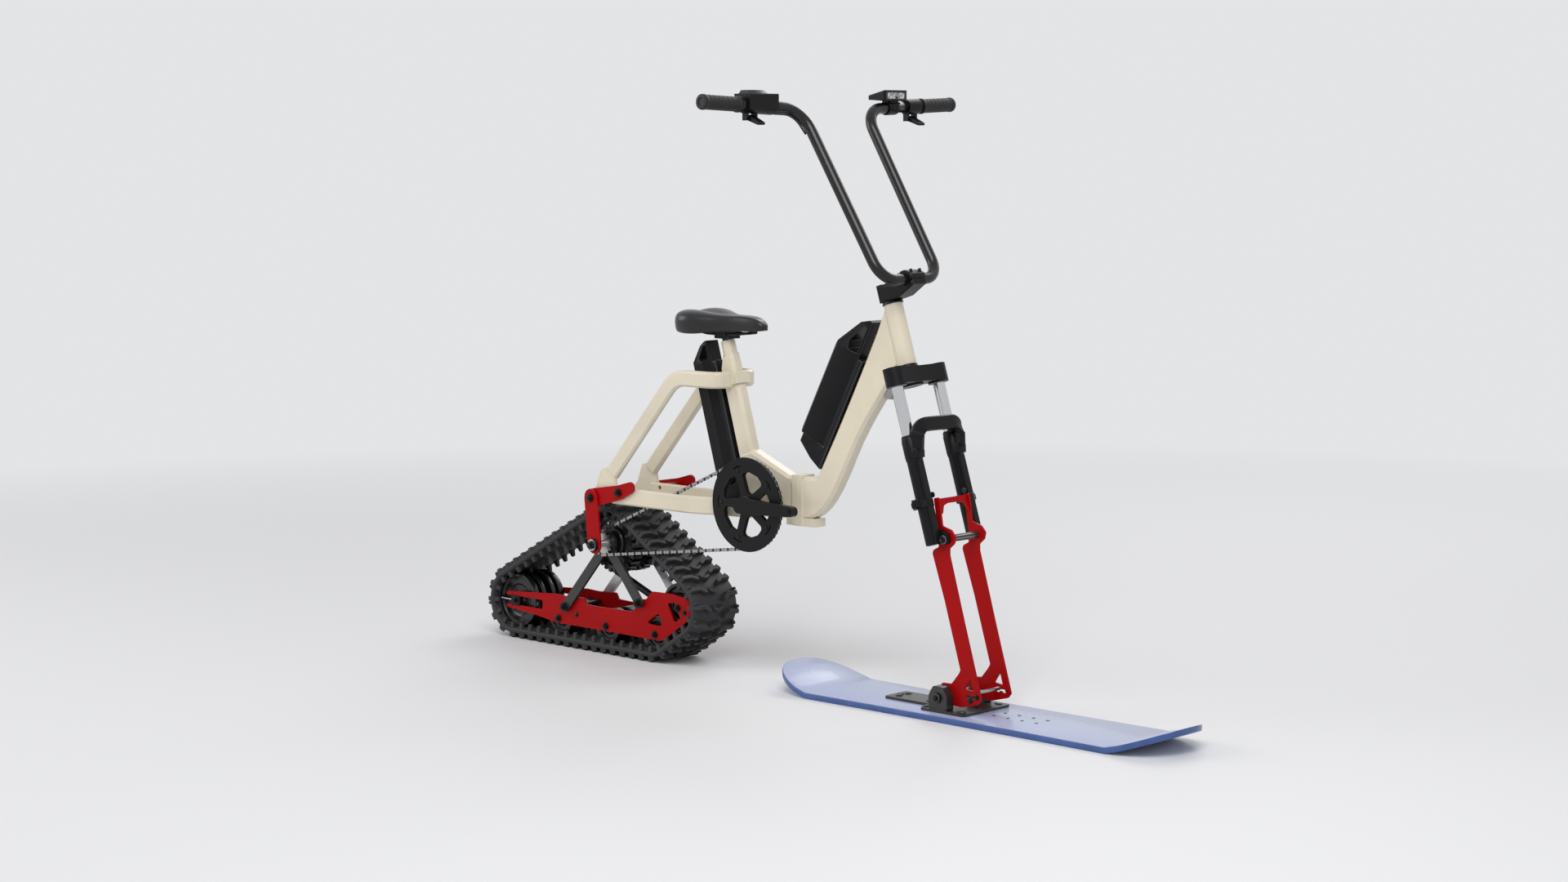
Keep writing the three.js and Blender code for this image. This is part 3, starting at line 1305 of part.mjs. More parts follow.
function boardStations() {
  const tail = Array.from({ length: boardEndSteps }, (unused, i) => {
    const s = Math.cos((i / boardEndSteps) * (Math.PI / 2)) ** 0.8;
    const wide = boardHalfWidth * Math.max(1 - s ** boardEndShare, 0) ** (1 / boardEndShare);
    return [boardTailBendX - boardTailLength * s, wide, boardTailLift * s ** boardKickShare];
  });
  const middle = Array.from({ length: 5 }, (unused, i) => {
    const t = i / 4;
    const wide = boardHalfWidth - (boardHalfWidth - boardWaist) * Math.sin(Math.PI * t);
    return [boardTailBendX + (boardTipBendX - boardTailBendX) * t, wide, 0];
  });
  const tip = tail.slice().reverse().map(([x, wide, lift]) => {
    const s = (boardTailBendX - x) / boardTailLength;
    return [boardTipBendX + boardTipLength * s, wide, lift * (boardTipLift / boardTailLift)];
  });
  return [...tail, ...middle, ...tip];
}

function snowboard() {
  const stations = boardStations();
  const positions = [];
  const push = (...points) => points.forEach((p) => positions.push(p.x, p.y, p.z));
  const corners = ([x, wide, lift]) => [
    vec(x, -wide, lift), vec(x, wide, lift), vec(x, wide, lift + boardThickness), vec(x, -wide, lift + boardThickness),
  ];
  for (let i = 0; i + 1 < stations.length; i += 1) {
    const a = corners(stations[i]);
    const b = corners(stations[i + 1]);
    for (let k = 0; k < 4; k += 1) {
      const next = (k + 1) % 4;
      push(a[k], a[next], b[next], a[k], b[next], b[k]);
    }
  }
  const geometry = new THREE.BufferGeometry();
  geometry.setAttribute("position", new THREE.Float32BufferAttribute(positions, 3));
  return solid(geometry);
}

// A flat bar between two round ends, standing between two y values
function barXZ(start, end, startRadius, endRadius, lowY, highY) {
  const way = end.clone().sub(start);
  const facing = Math.atan2(way.y, way.x);
  const opening = Math.acos((startRadius - endRadius) / way.length());
  const steps = 7;
  const arc = (centre, radius, from, to) => Array.from({ length: steps + 1 }, (unused, i) => {
    const angle = from + ((to - from) * i) / steps;
    return flatPoint(centre.x + radius * Math.cos(angle), centre.y + radius * Math.sin(angle));
  });
  const outline = [
    ...arc(end, endRadius, facing - opening, facing + opening),
    ...arc(start, startRadius, facing + opening, facing + FULL_TURN - opening),
  ];
  return plateXZ(outline, lowY, highY);
}

// A loop pulled tight round circles that are listed anticlockwise
function loopRound(circles) {
  const parts = [];
  const turns = circles.map((circle, i) => {
    const next = circles[(i + 1) % circles.length];
    const way = next.centre.clone().sub(circle.centre);
    return Math.atan2(way.y, way.x) - Math.acos((circle.radius - next.radius) / way.length());
  });
  const spot = (circle, angle) => (
    circle.centre.clone().add(flatPoint(circle.radius * Math.cos(angle), circle.radius * Math.sin(angle)))
  );
  circles.forEach((circle, i) => {
    const from = turns[(i + circles.length - 1) % circles.length];
    const sweep = (turns[i] - from + 2 * FULL_TURN) % FULL_TURN;
    parts.push({ circle, from, sweep, length: circle.radius * sweep });
    const next = circles[(i + 1) % circles.length];
    const start = spot(circle, turns[i]);
    const end = spot(next, turns[i]);
    parts.push({ start, end, angle: turns[i], length: start.distanceTo(end) });
  });
  const length = parts.reduce((sum, part) => sum + part.length, 0);
  const at = (distance) => {
    let left = ((distance % length) + length) % length;
    let k = 0;
    while (k < parts.length - 1 && left > parts[k].length) {
      left -= parts[k].length;
      k += 1;
    }
    const part = parts[k];
    if (!part.circle) return { point: part.start.clone().lerp(part.end, left / part.length), angle: part.angle };
    const angle = part.from + left / part.circle.radius;
    return { point: spot(part.circle, angle), angle };
  };
  const starts = parts.map((unused, i) => parts.slice(0, i).reduce((sum, part) => sum + part.length, 0));
  return { length, at, starts, parts };
}

// A place on a loop, moved out from it
function besideLoop(loop, distance, out) {
  const { point, angle } = loop.at(distance);
  return flatPoint(point.x + out * Math.cos(angle), point.y + out * Math.sin(angle));
}

// An outline that follows a loop; the cells list, for each pitch, a share of the pitch and an offset
function pitchedOutline(loop, count, cells) {
  const pitch = loop.length / count;
  return Array.from({ length: count }, (unused, i) => (
    cells.map(([share, out]) => besideLoop(loop, (i + share) * pitch, out))
  )).flat();
}

// The straight-sided outline that just clears a loop's circles
function tangentOutline(loop, step) {
  return loop.parts.filter((part) => part.circle).flatMap(({ circle, from, sweep }) => {
    const count = Math.ceil(sweep / step);
    const turn = sweep / count;
    const radius = circle.radius / Math.cos(turn / 2);
    return Array.from({ length: count }, (unused, k) => {
      const angle = from + (k + 0.5) * turn;
      return flatPoint(circle.centre.x + radius * Math.cos(angle), circle.centre.y + radius * Math.sin(angle));
    });
  });
}

// Chain drive
function pitchRadius(teeth) {
  return chainPitch / 2 / Math.sin(Math.PI / teeth);
}

const crankCentre = flatPoint(0, crankHeight);
const driveCentre = flatPoint(driveX, driveZ);
const chainLoop = loopRound([
  { centre: crankCentre, radius: pitchRadius(ringTeeth) },
  { centre: driveCentre, radius: pitchRadius(sprocketTeeth) },
]);
const chainLinks = 118;
const linkSpacing = chainLoop.length / chainLinks;
const toothShares = [[-0.28, -0.9], [0, 1], [0.28, -0.9]];

// The toothed outline of a chain wheel, with a valley where the loop first meets it
function toothedOutline(centre, teeth, valleyAngle) {
  const step = FULL_TURN / teeth;
  const points = [];
  for (let i = 0; i < teeth; i += 1) {
    toothShares.forEach(([share, height]) => {
      const angle = valleyAngle + (i + 0.5 + share) * step;
      const radius = pitchRadius(teeth) + height * toothHeight;
      points.push(flatPoint(centre.x + radius * Math.cos(angle), centre.y + radius * Math.sin(angle)));
    });
  }
  return points;
}

// Openings between spokes, as ring segments
function spokeWindows(centre, count, innerRadius, outerRadius, spokeWidth, steps) {
  return Array.from({ length: count }, (unused, i) => {
    const middle = ((i + 0.5) / count) * FULL_TURN;
    const arc = (radius) => {
      const half = Math.PI / count - Math.asin(spokeWidth / 2 / radius);
      return Array.from({ length: steps + 1 }, (alsoUnused, k) => {
        const angle = middle - half + (2 * half * k) / steps;
        return flatPoint(centre.x + radius * Math.cos(angle), centre.y + radius * Math.sin(angle));
      });
    };
    return [...arc(outerRadius), ...arc(innerRadius).reverse()];
  });
}

const guardFaceY = -63;
const guardBoltRadius = 3;

function chainring() {
  const first = chainLoop.parts[0].from;
  const rim = pitchRadius(ringTeeth) - toothHeight - ringBandWidth;
  const holes = spokeWindows(crankCentre, ringSpokes, ringHubRadius, rim, ringSpokeWidth, 4);
  const plate = plateXZ(
    toothedOutline(crankCentre, ringTeeth, first), chainlineY - ringThickness / 2, chainlineY + ringThickness / 2, { holes },
  );
  const hub = pinY(0, crankHeight, ringHubRadius - overrun, guardFaceY + fit, -shellHalfWidth - 2 * fit, roundSides);
  const bolts = Array.from({ length: ringSpokes }, (unused, i) => {
    const angle = (i / ringSpokes) * FULL_TURN;
    const reach = rim + ringBandWidth / 2;
    return pinY(
      reach * Math.cos(angle), crankHeight + reach * Math.sin(angle), guardBoltRadius,
      guardFaceY - guardThickness - guardBoltRadius, chainlineY, boltSides,
    );
  });
  const bore = pinY(0, crankHeight, boreFor(crankAxleRadius, tubeSides), guardFaceY - overrun, overrun - shellHalfWidth, tubeSides);
  return cut(union([plate, hub, ...bolts]), [bore]);
}

// Guard disc outside the chain, carried on the chainring's bolts
function chainGuard() {
  const holes = spokeWindows(crankCentre, ringSpokes, ringHubRadius, guardInnerRadius, ringSpokeWidth, 4);
  const disc = plateXZ(circlePoints(0, crankHeight, guardOuterRadius, discSides), guardFaceY - guardThickness, guardFaceY, { holes });
  const reach = pitchRadius(ringTeeth) - toothHeight - ringBandWidth / 2;
  const boltHoles = Array.from({ length: ringSpokes }, (unused, i) => {
    const angle = (i / ringSpokes) * FULL_TURN;
    const x = reach * Math.cos(angle);
    return pinY(x, crankHeight + reach * Math.sin(angle), boreFor(guardBoltRadius, boltSides), guardFaceY - 2 * overrun, guardFaceY + overrun, boltSides);
  });
  const bore = pinY(0, crankHeight, boreFor(crankAxleRadius, tubeSides), guardFaceY - 2 * overrun, guardFaceY + overrun, tubeSides);
  return cut(disc, [...boltHoles, bore]);
}

const crankArmY = 77;
const crankBossRadius = 17;
const crankEndY = 90;

function crankAxle() {
  return pinY(0, crankHeight, crankAxleRadius, -crankEndY, crankEndY, tubeSides);
}

// A crank arm; the right one points forward and the left one back
function crankArm(side) {
  const faces = [side * crankArmY, side * (crankArmY + crankArmThickness)];
  const tip = flatPoint(-side * crankReach, crankHeight);
  const arm = barXZ(crankCentre, tip, crankRootRadius, crankTipRadius, Math.min(...faces), Math.max(...faces));
  const bossFoot = side < 0 ? guardFaceY - guardThickness - fit : shellHalfWidth + 2 * fit;
  const bossEnds = [bossFoot, side * (crankArmY + overrun)];
  const boss = pinY(0, crankHeight, crankBossRadius, Math.min(...bossEnds), Math.max(...bossEnds), tubeSides);
  const bore = pinY(0, crankHeight, boreFor(crankAxleRadius, tubeSides), -crankEndY - fit, crankEndY + fit, tubeSides);
  const pedalHole = pinY(tip.x, crankHeight, crankTipRadius / 2, Math.min(...faces) - overrun, Math.max(...faces) + overrun, pinSides);
  return cut(arm.add(boss), [bore, pedalHole]);
}

// Chain: a row of side plates on each side, joined by pins on its straight runs only, so that the teeth
// turn freely between the plates
const pinFreeRun = 54;
const pinsPerRun = 8;

function chain() {
  const inner = chainInnerWidth / 2;
  const outerCells = [[0, chainBulge], [0.5, chainWaist]];
  const innerCells = [[0, -chainBulge], [0.5, -chainWaist]];
  const rows = [-1, 1].map((side) => {
    const faces = [chainlineY + side * inner, chainlineY + side * (inner + chainPlateThickness)];
    const holes = [pitchedOutline(chainLoop, chainLinks / 2, innerCells)];
    return plateXZ(pitchedOutline(chainLoop, chainLinks / 2, outerCells), Math.min(...faces), Math.max(...faces), { holes });
  });
  const reach = inner + chainPlateThickness / 2;
  const pins = [1, 3].flatMap((run) => {
    const span = chainLoop.parts[run].length - 2 * pinFreeRun;
    return Array.from({ length: pinsPerRun }, (unused, i) => {
      const { point } = chainLoop.at(chainLoop.starts[run] + pinFreeRun + (span * i) / (pinsPerRun - 1));
      return pinY(point.x, point.y, chainPinRadius, chainlineY - reach, chainlineY + reach, boltSides);
    });
  });
  return union([...rows, ...pins]);
}

const sprocketThickness = 3;
const sprocketHubRadius = 20;
const driveAxleNut = 15;
const driveNutThickness = 8;

// Driven sprocket on the drive axle, which turns in the lower link plates
function driveSprocket() {
  const arcStart = chainLoop.starts[2];
  const toNext = (Math.ceil(arcStart / linkSpacing) * linkSpacing - arcStart) / pitchRadius(sprocketTeeth);
  const teeth = plateXZ(
    toothedOutline(driveCentre, sprocketTeeth, chainLoop.parts[2].from + toNext),
    chainlineY - sprocketThickness / 2, chainlineY + sprocketThickness / 2,
  );
  const hub = pinY(driveX, driveZ, sprocketHubRadius, kitY - strutInnerY - strutThickness - 2 * fit - sprocketHubRadius / 2,
    kitY - strutInnerY - strutThickness - 2 * fit, tubeSides);
  const collar = pinY(driveX, driveZ, sprocketHubRadius, chainlineY, kitY - strutInnerY - strutThickness - 2 * fit, tubeSides);
  const end = linkInnerY + 2 * linkThickness + 2 * fit;
  const profile = [
    [0, -end - driveNutThickness], [driveAxleNut, -end - driveNutThickness], [driveAxleNut, -end], [driveAxleRadius, -end],
    [driveAxleRadius, end], [driveAxleNut, end], [driveAxleNut, end + driveNutThickness], [0, end + driveNutThickness],
  ].map(([radius, y]) => [radius, y + kitY]);
  return union([teeth, hub, collar, turnedY(profile, driveX, driveZ, tubeSides)]);
}

// Wheels of the track kit: one turned piece with its discs, hub and axle.
// Discs are listed as spans across the kit; a dished disc has a rim round a thinner web on its outer face.
const rimDepth = 9;
const dishDepth = 6;

function kitWheel(x, z, radius, discs, dished, sides) {
  const halfAxle = wheelAxleHalf;
  const profile = [[0, -halfAxle], [kitAxleRadius, -halfAxle], [kitAxleRadius, discs[0][0] + dishDepth]];
  discs.forEach(([low, high], i) => {
    const first = dished && i === 0;
    const last = dished && i === discs.length - 1;
    const rim = radius - rimDepth;
    profile.push(...(first ? [[wheelHubRadius, low + dishDepth], [rim, low + dishDepth], [rim, low]] : [[wheelHubRadius, low]]));
    profile.push([radius, low], [radius, high]);
    profile.push(...(last ? [[rim, high], [rim, high - dishDepth], [wheelHubRadius, high - dishDepth]] : [[wheelHubRadius, high]]));
  });
  const end = discs[discs.length - 1][1];
  profile.push([kitAxleRadius, end - dishDepth], [kitAxleRadius, halfAxle], [0, halfAxle]);
  return turnedY(profile.map(([r, y]) => [r, y + kitY]), x, z, sides);
}

const wheelInnerY = 10;
const wheelSplitInnerY = 22;
const wheelSplitOuterY = 34;
const wheelOuterY = 50;
const axleStub = 1;
const splitDiscs = [
  [-wheelOuterY, -wheelSplitOuterY], [-wheelSplitInnerY, -wheelInnerY],
  [wheelInnerY, wheelSplitInnerY], [wheelSplitOuterY, wheelOuterY],
];
const plainDiscs = [[-wheelOuterY, -wheelInnerY], [wheelInnerY, wheelOuterY]];
const wheelAxleHalf = sidePlateY + axleStub;
const wheelHubRadius = 16;
const treadInnerZ = beltLift + beltThickness;
const bogieZ = treadInnerZ + fit + bogieRadius;
const rearIdlerZ = treadInnerZ + fit + rearIdlerRadius;

function rearIdler() {
  return kitWheel(rearIdlerX, rearIdlerZ, rearIdlerRadius, splitDiscs, false, wheelSides);
}

function frontIdler() {
  return kitWheel(frontIdlerX, frontIdlerZ, frontIdlerRadius, plainDiscs, true, wheelSides);
}

function bogieX(index) {
  return bogieFrontX - index * bogieSpacing;
}

function bogie(index) {
  return kitWheel(bogieX(index), bogieZ, bogieRadius, plainDiscs, true, roundSides);
}

// Drive drum with the hub motor inside it, on the drive axle
const motorHalf = 54;
const motorCapRadius = 40;
const drumGrooveRadius = 60;

function driveMotor() {
  const profile = [
    [boreFor(driveAxleRadius, wheelSides), -motorHalf], [motorCapRadius, -motorHalf], [motorCapRadius, -wheelOuterY],
    [driveRadius - rimDepth, -wheelOuterY], [driveRadius, -wheelOuterY + dishDepth], [driveRadius, -wheelInnerY],
    [drumGrooveRadius, -wheelInnerY], [drumGrooveRadius, wheelInnerY], [driveRadius, wheelInnerY],
    [driveRadius, wheelOuterY - dishDepth], [driveRadius - rimDepth, wheelOuterY], [motorCapRadius, wheelOuterY],
    [motorCapRadius, motorHalf], [boreFor(driveAxleRadius, wheelSides), motorHalf], [boreFor(driveAxleRadius, wheelSides), -motorHalf],
  ].map(([radius, y]) => [radius, y + kitY]);
  return turnedY(profile, driveX, driveZ, wheelSides);
}

// Belt: three bands with staggered tread lugs, and a row of drive lugs along the middle inside
const treadCount = 50;
const beltFacet = 15 * DEGREE;
const treadMiddleHalf = 27;
const beltLoop = loopRound([
  { centre: flatPoint(rearIdlerX, rearIdlerZ), radius: rearIdlerRadius + fit },
  { centre: flatPoint(bogieX(0), bogieZ), radius: bogieRadius + fit },
  { centre: flatPoint(frontIdlerX, frontIdlerZ), radius: frontIdlerRadius + fit },
  { centre: driveCentre, radius: driveRadius + fit },
]);

function treadCells(shift) {
  const tip = beltThickness + beltLift;
  return [[0, beltThickness], [0.46, beltThickness], [0.56, tip], [0.9, tip]].map(([share, out]) => [share + shift, out]);
}

function belt() {
  const holes = [tangentOutline(beltLoop, beltFacet)];
  const edges = [-1, 1].map((side) => {
    const faces = [kitY + side * treadMiddleHalf, kitY + side * beltHalfWidth];
    return plateXZ(pitchedOutline(beltLoop, treadCount, treadCells(0)), Math.min(...faces), Math.max(...faces), { holes });
  });
  const middle = plateXZ(
    pitchedOutline(beltLoop, treadCount, treadCells(0.5)), kitY - treadMiddleHalf, kitY + treadMiddleHalf, { holes },
  );
  const lugHalf = wheelInnerY - overrun / 2;
  const root = beltThickness / 4;
  const cover = beltThickness * 0.75;
  const lugCells = [[0, root], [0.36, root], [0.4, -driveLug], [0.6, -driveLug], [0.64, root]];
  const lugs = plateXZ(
    pitchedOutline(beltLoop, treadCount / 2, [[0, cover], [0.5, cover]]),
    kitY - lugHalf, kitY + lugHalf, { holes: [pitchedOutline(beltLoop, treadCount / 2, lugCells)] },
  );
  return union([...edges, middle, lugs]);
}

// Side plates of the track kit, with the slot and tensioner of the rear idler
const tensionerBoltRadius = 4;
const tensionerBlock = 15;
const strutRearX = -674;
const strutRearZ = 103;
const strutFrontX = -400;
const strutFrontZ = 143;

const kitLength = frontIdlerX - rearIdlerX;
// Corners of a side plate as shares of the kit's length: forward of the rear idler and up from the floor
const sidePlateShares = [
  [-0.061, 0.1931], [-0.061, 0.1188], [0.097, 0.1023], [0.276, 0.0891],
  [0.586, 0.0908], [0.914, 0.0908], [1.063, 0.1931], [1.083, 0.2459],
  [1.064, 0.2838], [0.845, 0.2888], [0.81, 0.2442], [0.637, 0.2393],
  [0.563, 0.2591], [0.386, 0.2426], [0.318, 0.1964], [0.231, 0.236],
];
// Windows in front of the last bogie, as shares of the front idler's radius from its centre
const triangleShares = [[-1.9, -0.77], [-1.03, -0.87], [-1.03, -0.51]];
const slotShares = [[-0.574, 0.148], [-0.148, -0.525]];

function sidePlate(side) {
  const faces = [kitY + side * (sidePlateY - sidePlateThickness), kitY + side * sidePlateY];
  const span = [Math.min(...faces), Math.max(...faces)];
  const through = [span[0] - overrun, span[1] + overrun];
  const corners = sidePlateShares.map(([ahead, up]) => flatPoint(rearIdlerX + ahead * kitLength, up * kitLength));
  const outline = rounded(corners, 2 * overrun, 2, true);
  const plate = plateXZ(counterClockwise(outline), ...span);
  const slotHalf = tensionerBlock * 0.8;
  const slot = box(
    rearIdlerX - 3 * tensionerBlock, through[0], rearIdlerZ - slotHalf,
    rearIdlerX + 7 * tensionerBlock, through[1], rearIdlerZ + slotHalf,
  );
  const block = box(
    rearIdlerX - tensionerBlock, span[0], rearIdlerZ - slotHalf - fit,
    rearIdlerX + tensionerBlock, span[1], rearIdlerZ + slotHalf + fit,
  );
  const bolt = rod(
    vec(rearIdlerX - 3 * tensionerBlock, (span[0] + span[1]) / 2, rearIdlerZ),
    vec(rearIdlerX - tensionerBlock / 2 - overrun / 2, (span[0] + span[1]) / 2, rearIdlerZ),
    tensionerBoltRadius / 2, tensionerBoltRadius / 2, boltSides,
  );
  const nearIdler = ([ahead, up]) => flatPoint(frontIdlerX + ahead * frontIdlerRadius, frontIdlerZ + up * frontIdlerRadius);
  const triangle = rounded(triangleShares.map(nearIdler), overrun, 2, true);
  const slotWindow = barXZ(...slotShares.map(nearIdler), 2 * overrun, 2 * overrun, ...through);
  const axleHoles = [
    ...[0, 1, 2].map((index) => pinY(bogieX(index), bogieZ, boreFor(kitAxleRadius, pinSides), ...through, pinSides)),
    pinY(rearIdlerX, rearIdlerZ, boreFor(kitAxleRadius, pinSides), ...through, pinSides),
    pinY(frontIdlerX, frontIdlerZ, boreFor(kitAxleRadius, pinSides), ...through, pinSides),
    pinY(strutRearX, strutRearZ, boreFor(kitAxleRadius, pinSides), ...through, pinSides),
    pinY(strutFrontX, strutFrontZ, boreFor(kitAxleRadius, pinSides), ...through, pinSides),
  ];
  const windows = [plateXZ(counterClockwise(triangle), ...through), slotWindow];
  return cut(cut(plate, [slot]).add(block), [...windows, ...axleHoles]).add(bolt);
}

// Strut frames: they hang the track on the drive axle; the right one carries the long cross bolts
const strutHubRadius = 30;
const strutHalf = 13;
const strutBoltHead = 11;

function strutFrame(side) {
  const faces = [kitY + side * strutInnerY, kitY + side * (strutInnerY + strutThickness)];
  const span = [Math.min(...faces), Math.max(...faces)];
  const rearFoot = flatPoint(strutRearX, strutRearZ);
  const frontFoot = flatPoint(strutFrontX, strutFrontZ);
  const bars = [
    barXZ(driveCentre, rearFoot, strutHalf, strutHalf, ...span),
    barXZ(flatPoint(driveX - strutHubRadius / 2, driveZ + strutHalf), frontFoot, strutHalf, strutHalf, ...span),
    barXZ(flatPoint(driveX, driveZ - strutHubRadius / 2), frontFoot, strutHalf * 0.8, strutHalf * 0.8, ...span),
  ];
  const hub = pinY(driveX, driveZ, strutHubRadius, ...span, roundSides);
  const through = [span[0] - overrun, span[1] + overrun];
  const bore = pinY(driveX, driveZ, boreFor(driveAxleRadius, tubeSides), ...through, tubeSides);
  const feet = [rearFoot, frontFoot];
  if (side > 0) {
    return cut(union([hub, ...bars]), [bore, ...feet.map((foot) => pinY(foot.x, foot.y, boreFor(kitAxleRadius, pinSides), ...through, pinSides))]);
  }
  const farEnd = kitY + strutInnerY + strutThickness + fit;
  const bolts = feet.flatMap((foot) => [
    pinY(foot.x, foot.y, kitAxleRadius, span[0], farEnd + overrun, pinSides),
    pinY(foot.x, foot.y, strutBoltHead, farEnd, farEnd + overrun, boltSides),
    pinY(foot.x, foot.y, strutBoltHead, span[0] - overrun, span[0] + overrun, boltSides),
  ]);
  return cut(union([hub, ...bars]), [bore]).add(union(bolts));
}

// Link plates between the frame's axle plates and the drive axle
const linkBoltRadius = 5;
const linkBoltHead = 10;
const linkFrontX = -427;
const linkFrontRise = 10;
const linkFrontZ = chainStayZ + linkFrontRise;
const linkTipX = -386;
const linkTipRise = 26;
const linkTipZ = chainStayZ + linkTipRise;
const linkCornerX = -523;
const linkCornerDrop = 10;
const linkCornerZ = chainStayZ - linkCornerDrop;
const linkHalf = 23;

function boltAt(x, z, side, innerY, headY) {
  const faces = [side * innerY, side * headY];
  const heads = [side * headY, side * (headY + overrun)];
  return pinY(x, z, linkBoltRadius, Math.min(...faces), Math.max(...faces), pinSides)
    .add(pinY(x, z, linkBoltHead, Math.min(...heads) - fit, Math.max(...heads), boltSides));
}

function sideY(side, across) {
  return kitY + side * across;
}

function linkUpper(side) {
  const faces = [sideY(side, linkInnerY), sideY(side, linkInnerY + linkThickness)];
  const span = [Math.min(...faces), Math.max(...faces)];
  const corner = flatPoint(linkCornerX, linkCornerZ);
  const bars = [
    barXZ(corner, flatPoint(linkFrontX, linkFrontZ), linkHalf, linkHalf * 0.8, ...span),
    barXZ(flatPoint(linkFrontX, linkFrontZ), flatPoint(linkTipX, linkTipZ), linkHalf * 0.8, linkHalf * 0.6, ...span),
  ];
  const dropoutInner = dropoutY - dropoutThickness;
  const headFace = side * sideY(side, linkInnerY + linkThickness);
  const bolt = boltAt(linkFrontX, linkFrontZ, side, dropoutInner, headFace);
  const hole = pinY(linkCornerX, linkCornerZ, boreFor(linkBoltRadius, pinSides), span[0] - overrun, span[1] + overrun, pinSides);
  const spacerEnds = [side * (hoopSideY + hoopWall / 2 + fit), sideY(side, linkInnerY + overrun / 2)];
  const spacer = pinY(linkFrontX, linkFrontZ, linkBoltHead, Math.min(...spacerEnds), Math.max(...spacerEnds), pinSides);
  return cut(union([...bars, bolt, ...(side > 0 ? [spacer] : [])]), [hole]);
}

function linkLower(side) {
  const inner = linkInnerY + linkThickness + fit;
  const faces = [sideY(side, inner), sideY(side, inner + linkThickness)];
  const span = [Math.min(...faces), Math.max(...faces)];
  const corner = flatPoint(linkCornerX, linkCornerZ);
  const bar = barXZ(corner, driveCentre, linkHalf, linkHalf, ...span);
  const bore = pinY(driveX, driveZ, boreFor(driveAxleRadius, tubeSides), span[0] - overrun, span[1] + overrun, tubeSides);
  const bolt = boltAt(linkCornerX, linkCornerZ, side, dropoutY - dropoutThickness, side * sideY(side, inner + linkThickness));
  const spacerEnds = [side * (dropoutY + dropoutThickness / 2 + fit), sideY(side, linkInnerY - fit)];
  const spacer = pinY(linkCornerX, linkCornerZ, linkBoltHead, Math.min(...spacerEnds), Math.max(...spacerEnds), pinSides);
  return cut(bar, [bore]).add(union([bolt, ...(side > 0 ? [spacer] : [])]));
}

// Centre strut inside the kit, tied to the front cross bolt
const strutTubeRadius = 9;
const centreStrutX = -549;
const centreStrutDrop = 83;
const centreStrutZ = driveZ - centreStrutDrop;

function centreStrut() {
  const clear = strutTubeRadius + fit;
  const bolt = flatPoint(strutFrontX, strutFrontZ);
  const towards = flatPoint(centreStrutX, centreStrutZ).sub(bolt).normalize();
  const start = bolt.clone().addScaledVector(towards, kitAxleRadius + fit);
  const tube = rod(vec(start.x, kitY, start.y), vec(centreStrutX, kitY, centreStrutZ), strutTubeRadius, clear, tubeSides);
  const eye = pinY(strutFrontX, strutFrontZ, strutTubeRadius * 1.5, kitY - strutTubeRadius, kitY + strutTubeRadius, tubeSides);
  const bore = pinY(strutFrontX, strutFrontZ, boreFor(kitAxleRadius, pinSides), kitY - 2 * strutTubeRadius, kitY + 2 * strutTubeRadius, pinSides);
  return cut(tube.add(eye), [bore]);
}

add("front_frame", frontFrame(), finish.frame);
add("rear_frame", rearFrame(), finish.frame);
add("rear_hoop", rearHoop(), finish.frame);
add("chain_stay_right", chainStay(-1), finish.frame);
add("chain_stay_left", chainStay(1), finish.frame);
add("front_battery", batteryCase(frontBatterySizes()), finish.blackPlastic);
add("front_battery_mount", batteryMount(frontBatterySizes()), finish.blackPlastic);
add("rear_battery", batteryCase(rearBatterySizes()), finish.blackPlastic);
add("rear_battery_mount", batteryMount(rearBatterySizes()), finish.blackPlastic);
add("seatpost", seatpost(), finish.black);
add("saddle_rails", saddleRails(), finish.steel);
add("saddle", saddle(), finish.saddle);
add("headset_upper", headsetCup(headLength + fit, headLength + cupHeight), finish.black, steeringFrame);
add("headset_lower", headsetCup(-cupHeight - fit, -fit), finish.black, steeringFrame);
add("fork_crown", forkCrown(), finish.black, steeringFrame);
add("stanchion_right", stanchion(-1), finish.chrome, steeringFrame);
add("stanchion_left", stanchion(1), finish.chrome, steeringFrame);
add("stem", stem(), finish.black, steeringFrame);
add("handlebar", handlebar(), finish.black);
add("grip_right", grip(-1), finish.blackPlastic);
add("grip_left", grip(1), finish.blackPlastic);
add("control_box", controlBox(), finish.blackPlastic);
add("throttle_lever", barLever(-1, controlStart, leverLength), finish.blackPlastic);
add("left_clamp", leftClamp(), finish.black);
add("left_lever", barLever(1, clampStart, leverLength), finish.black);
add("display", display(), finish.blackPlastic);
add("control_cable", controlCable(), finish.rubber);
add("fork_lowers", forkLowers(), finish.black, steeringFrame);
add("ski_arm_right", skiArm(-1), finish.red);
add("ski_arm_left", skiArm(1), finish.red);
add("ski_arm_bridge", armBridge(), finish.red, steeringFrame);
add("cross_axle", crossAxle(), finish.steel, steeringFrame);
add("tie_rod", tieRod(), finish.black);
add("ski_pivot_bolt", skiPivotBolt(), finish.steel);
add("base_plate", basePlate(), finish.black);
add("snowboard", snowboard(), finish.board);
add("crank_axle", crankAxle(), finish.steel);
add("chainring", chainring(), finish.steel);
add("chain_guard", chainGuard(), finish.black);
add("crank_arm_right", crankArm(-1), finish.black);
add("crank_arm_left", crankArm(1), finish.black);
add("chain", chain(), finish.steel);
add("drive_sprocket", driveSprocket(), finish.steel);
add("drive_motor", driveMotor(), finish.black);
add("link_upper_right", linkUpper(-1), finish.red);
add("link_upper_left", linkUpper(1), finish.red);
add("link_lower_right", linkLower(-1), finish.red);
add("link_lower_left", linkLower(1), finish.red);
add("side_plate_right", sidePlate(-1), finish.red);
add("side_plate_left", sidePlate(1), finish.red);
add("strut_frame_right", strutFrame(-1), finish.steel);
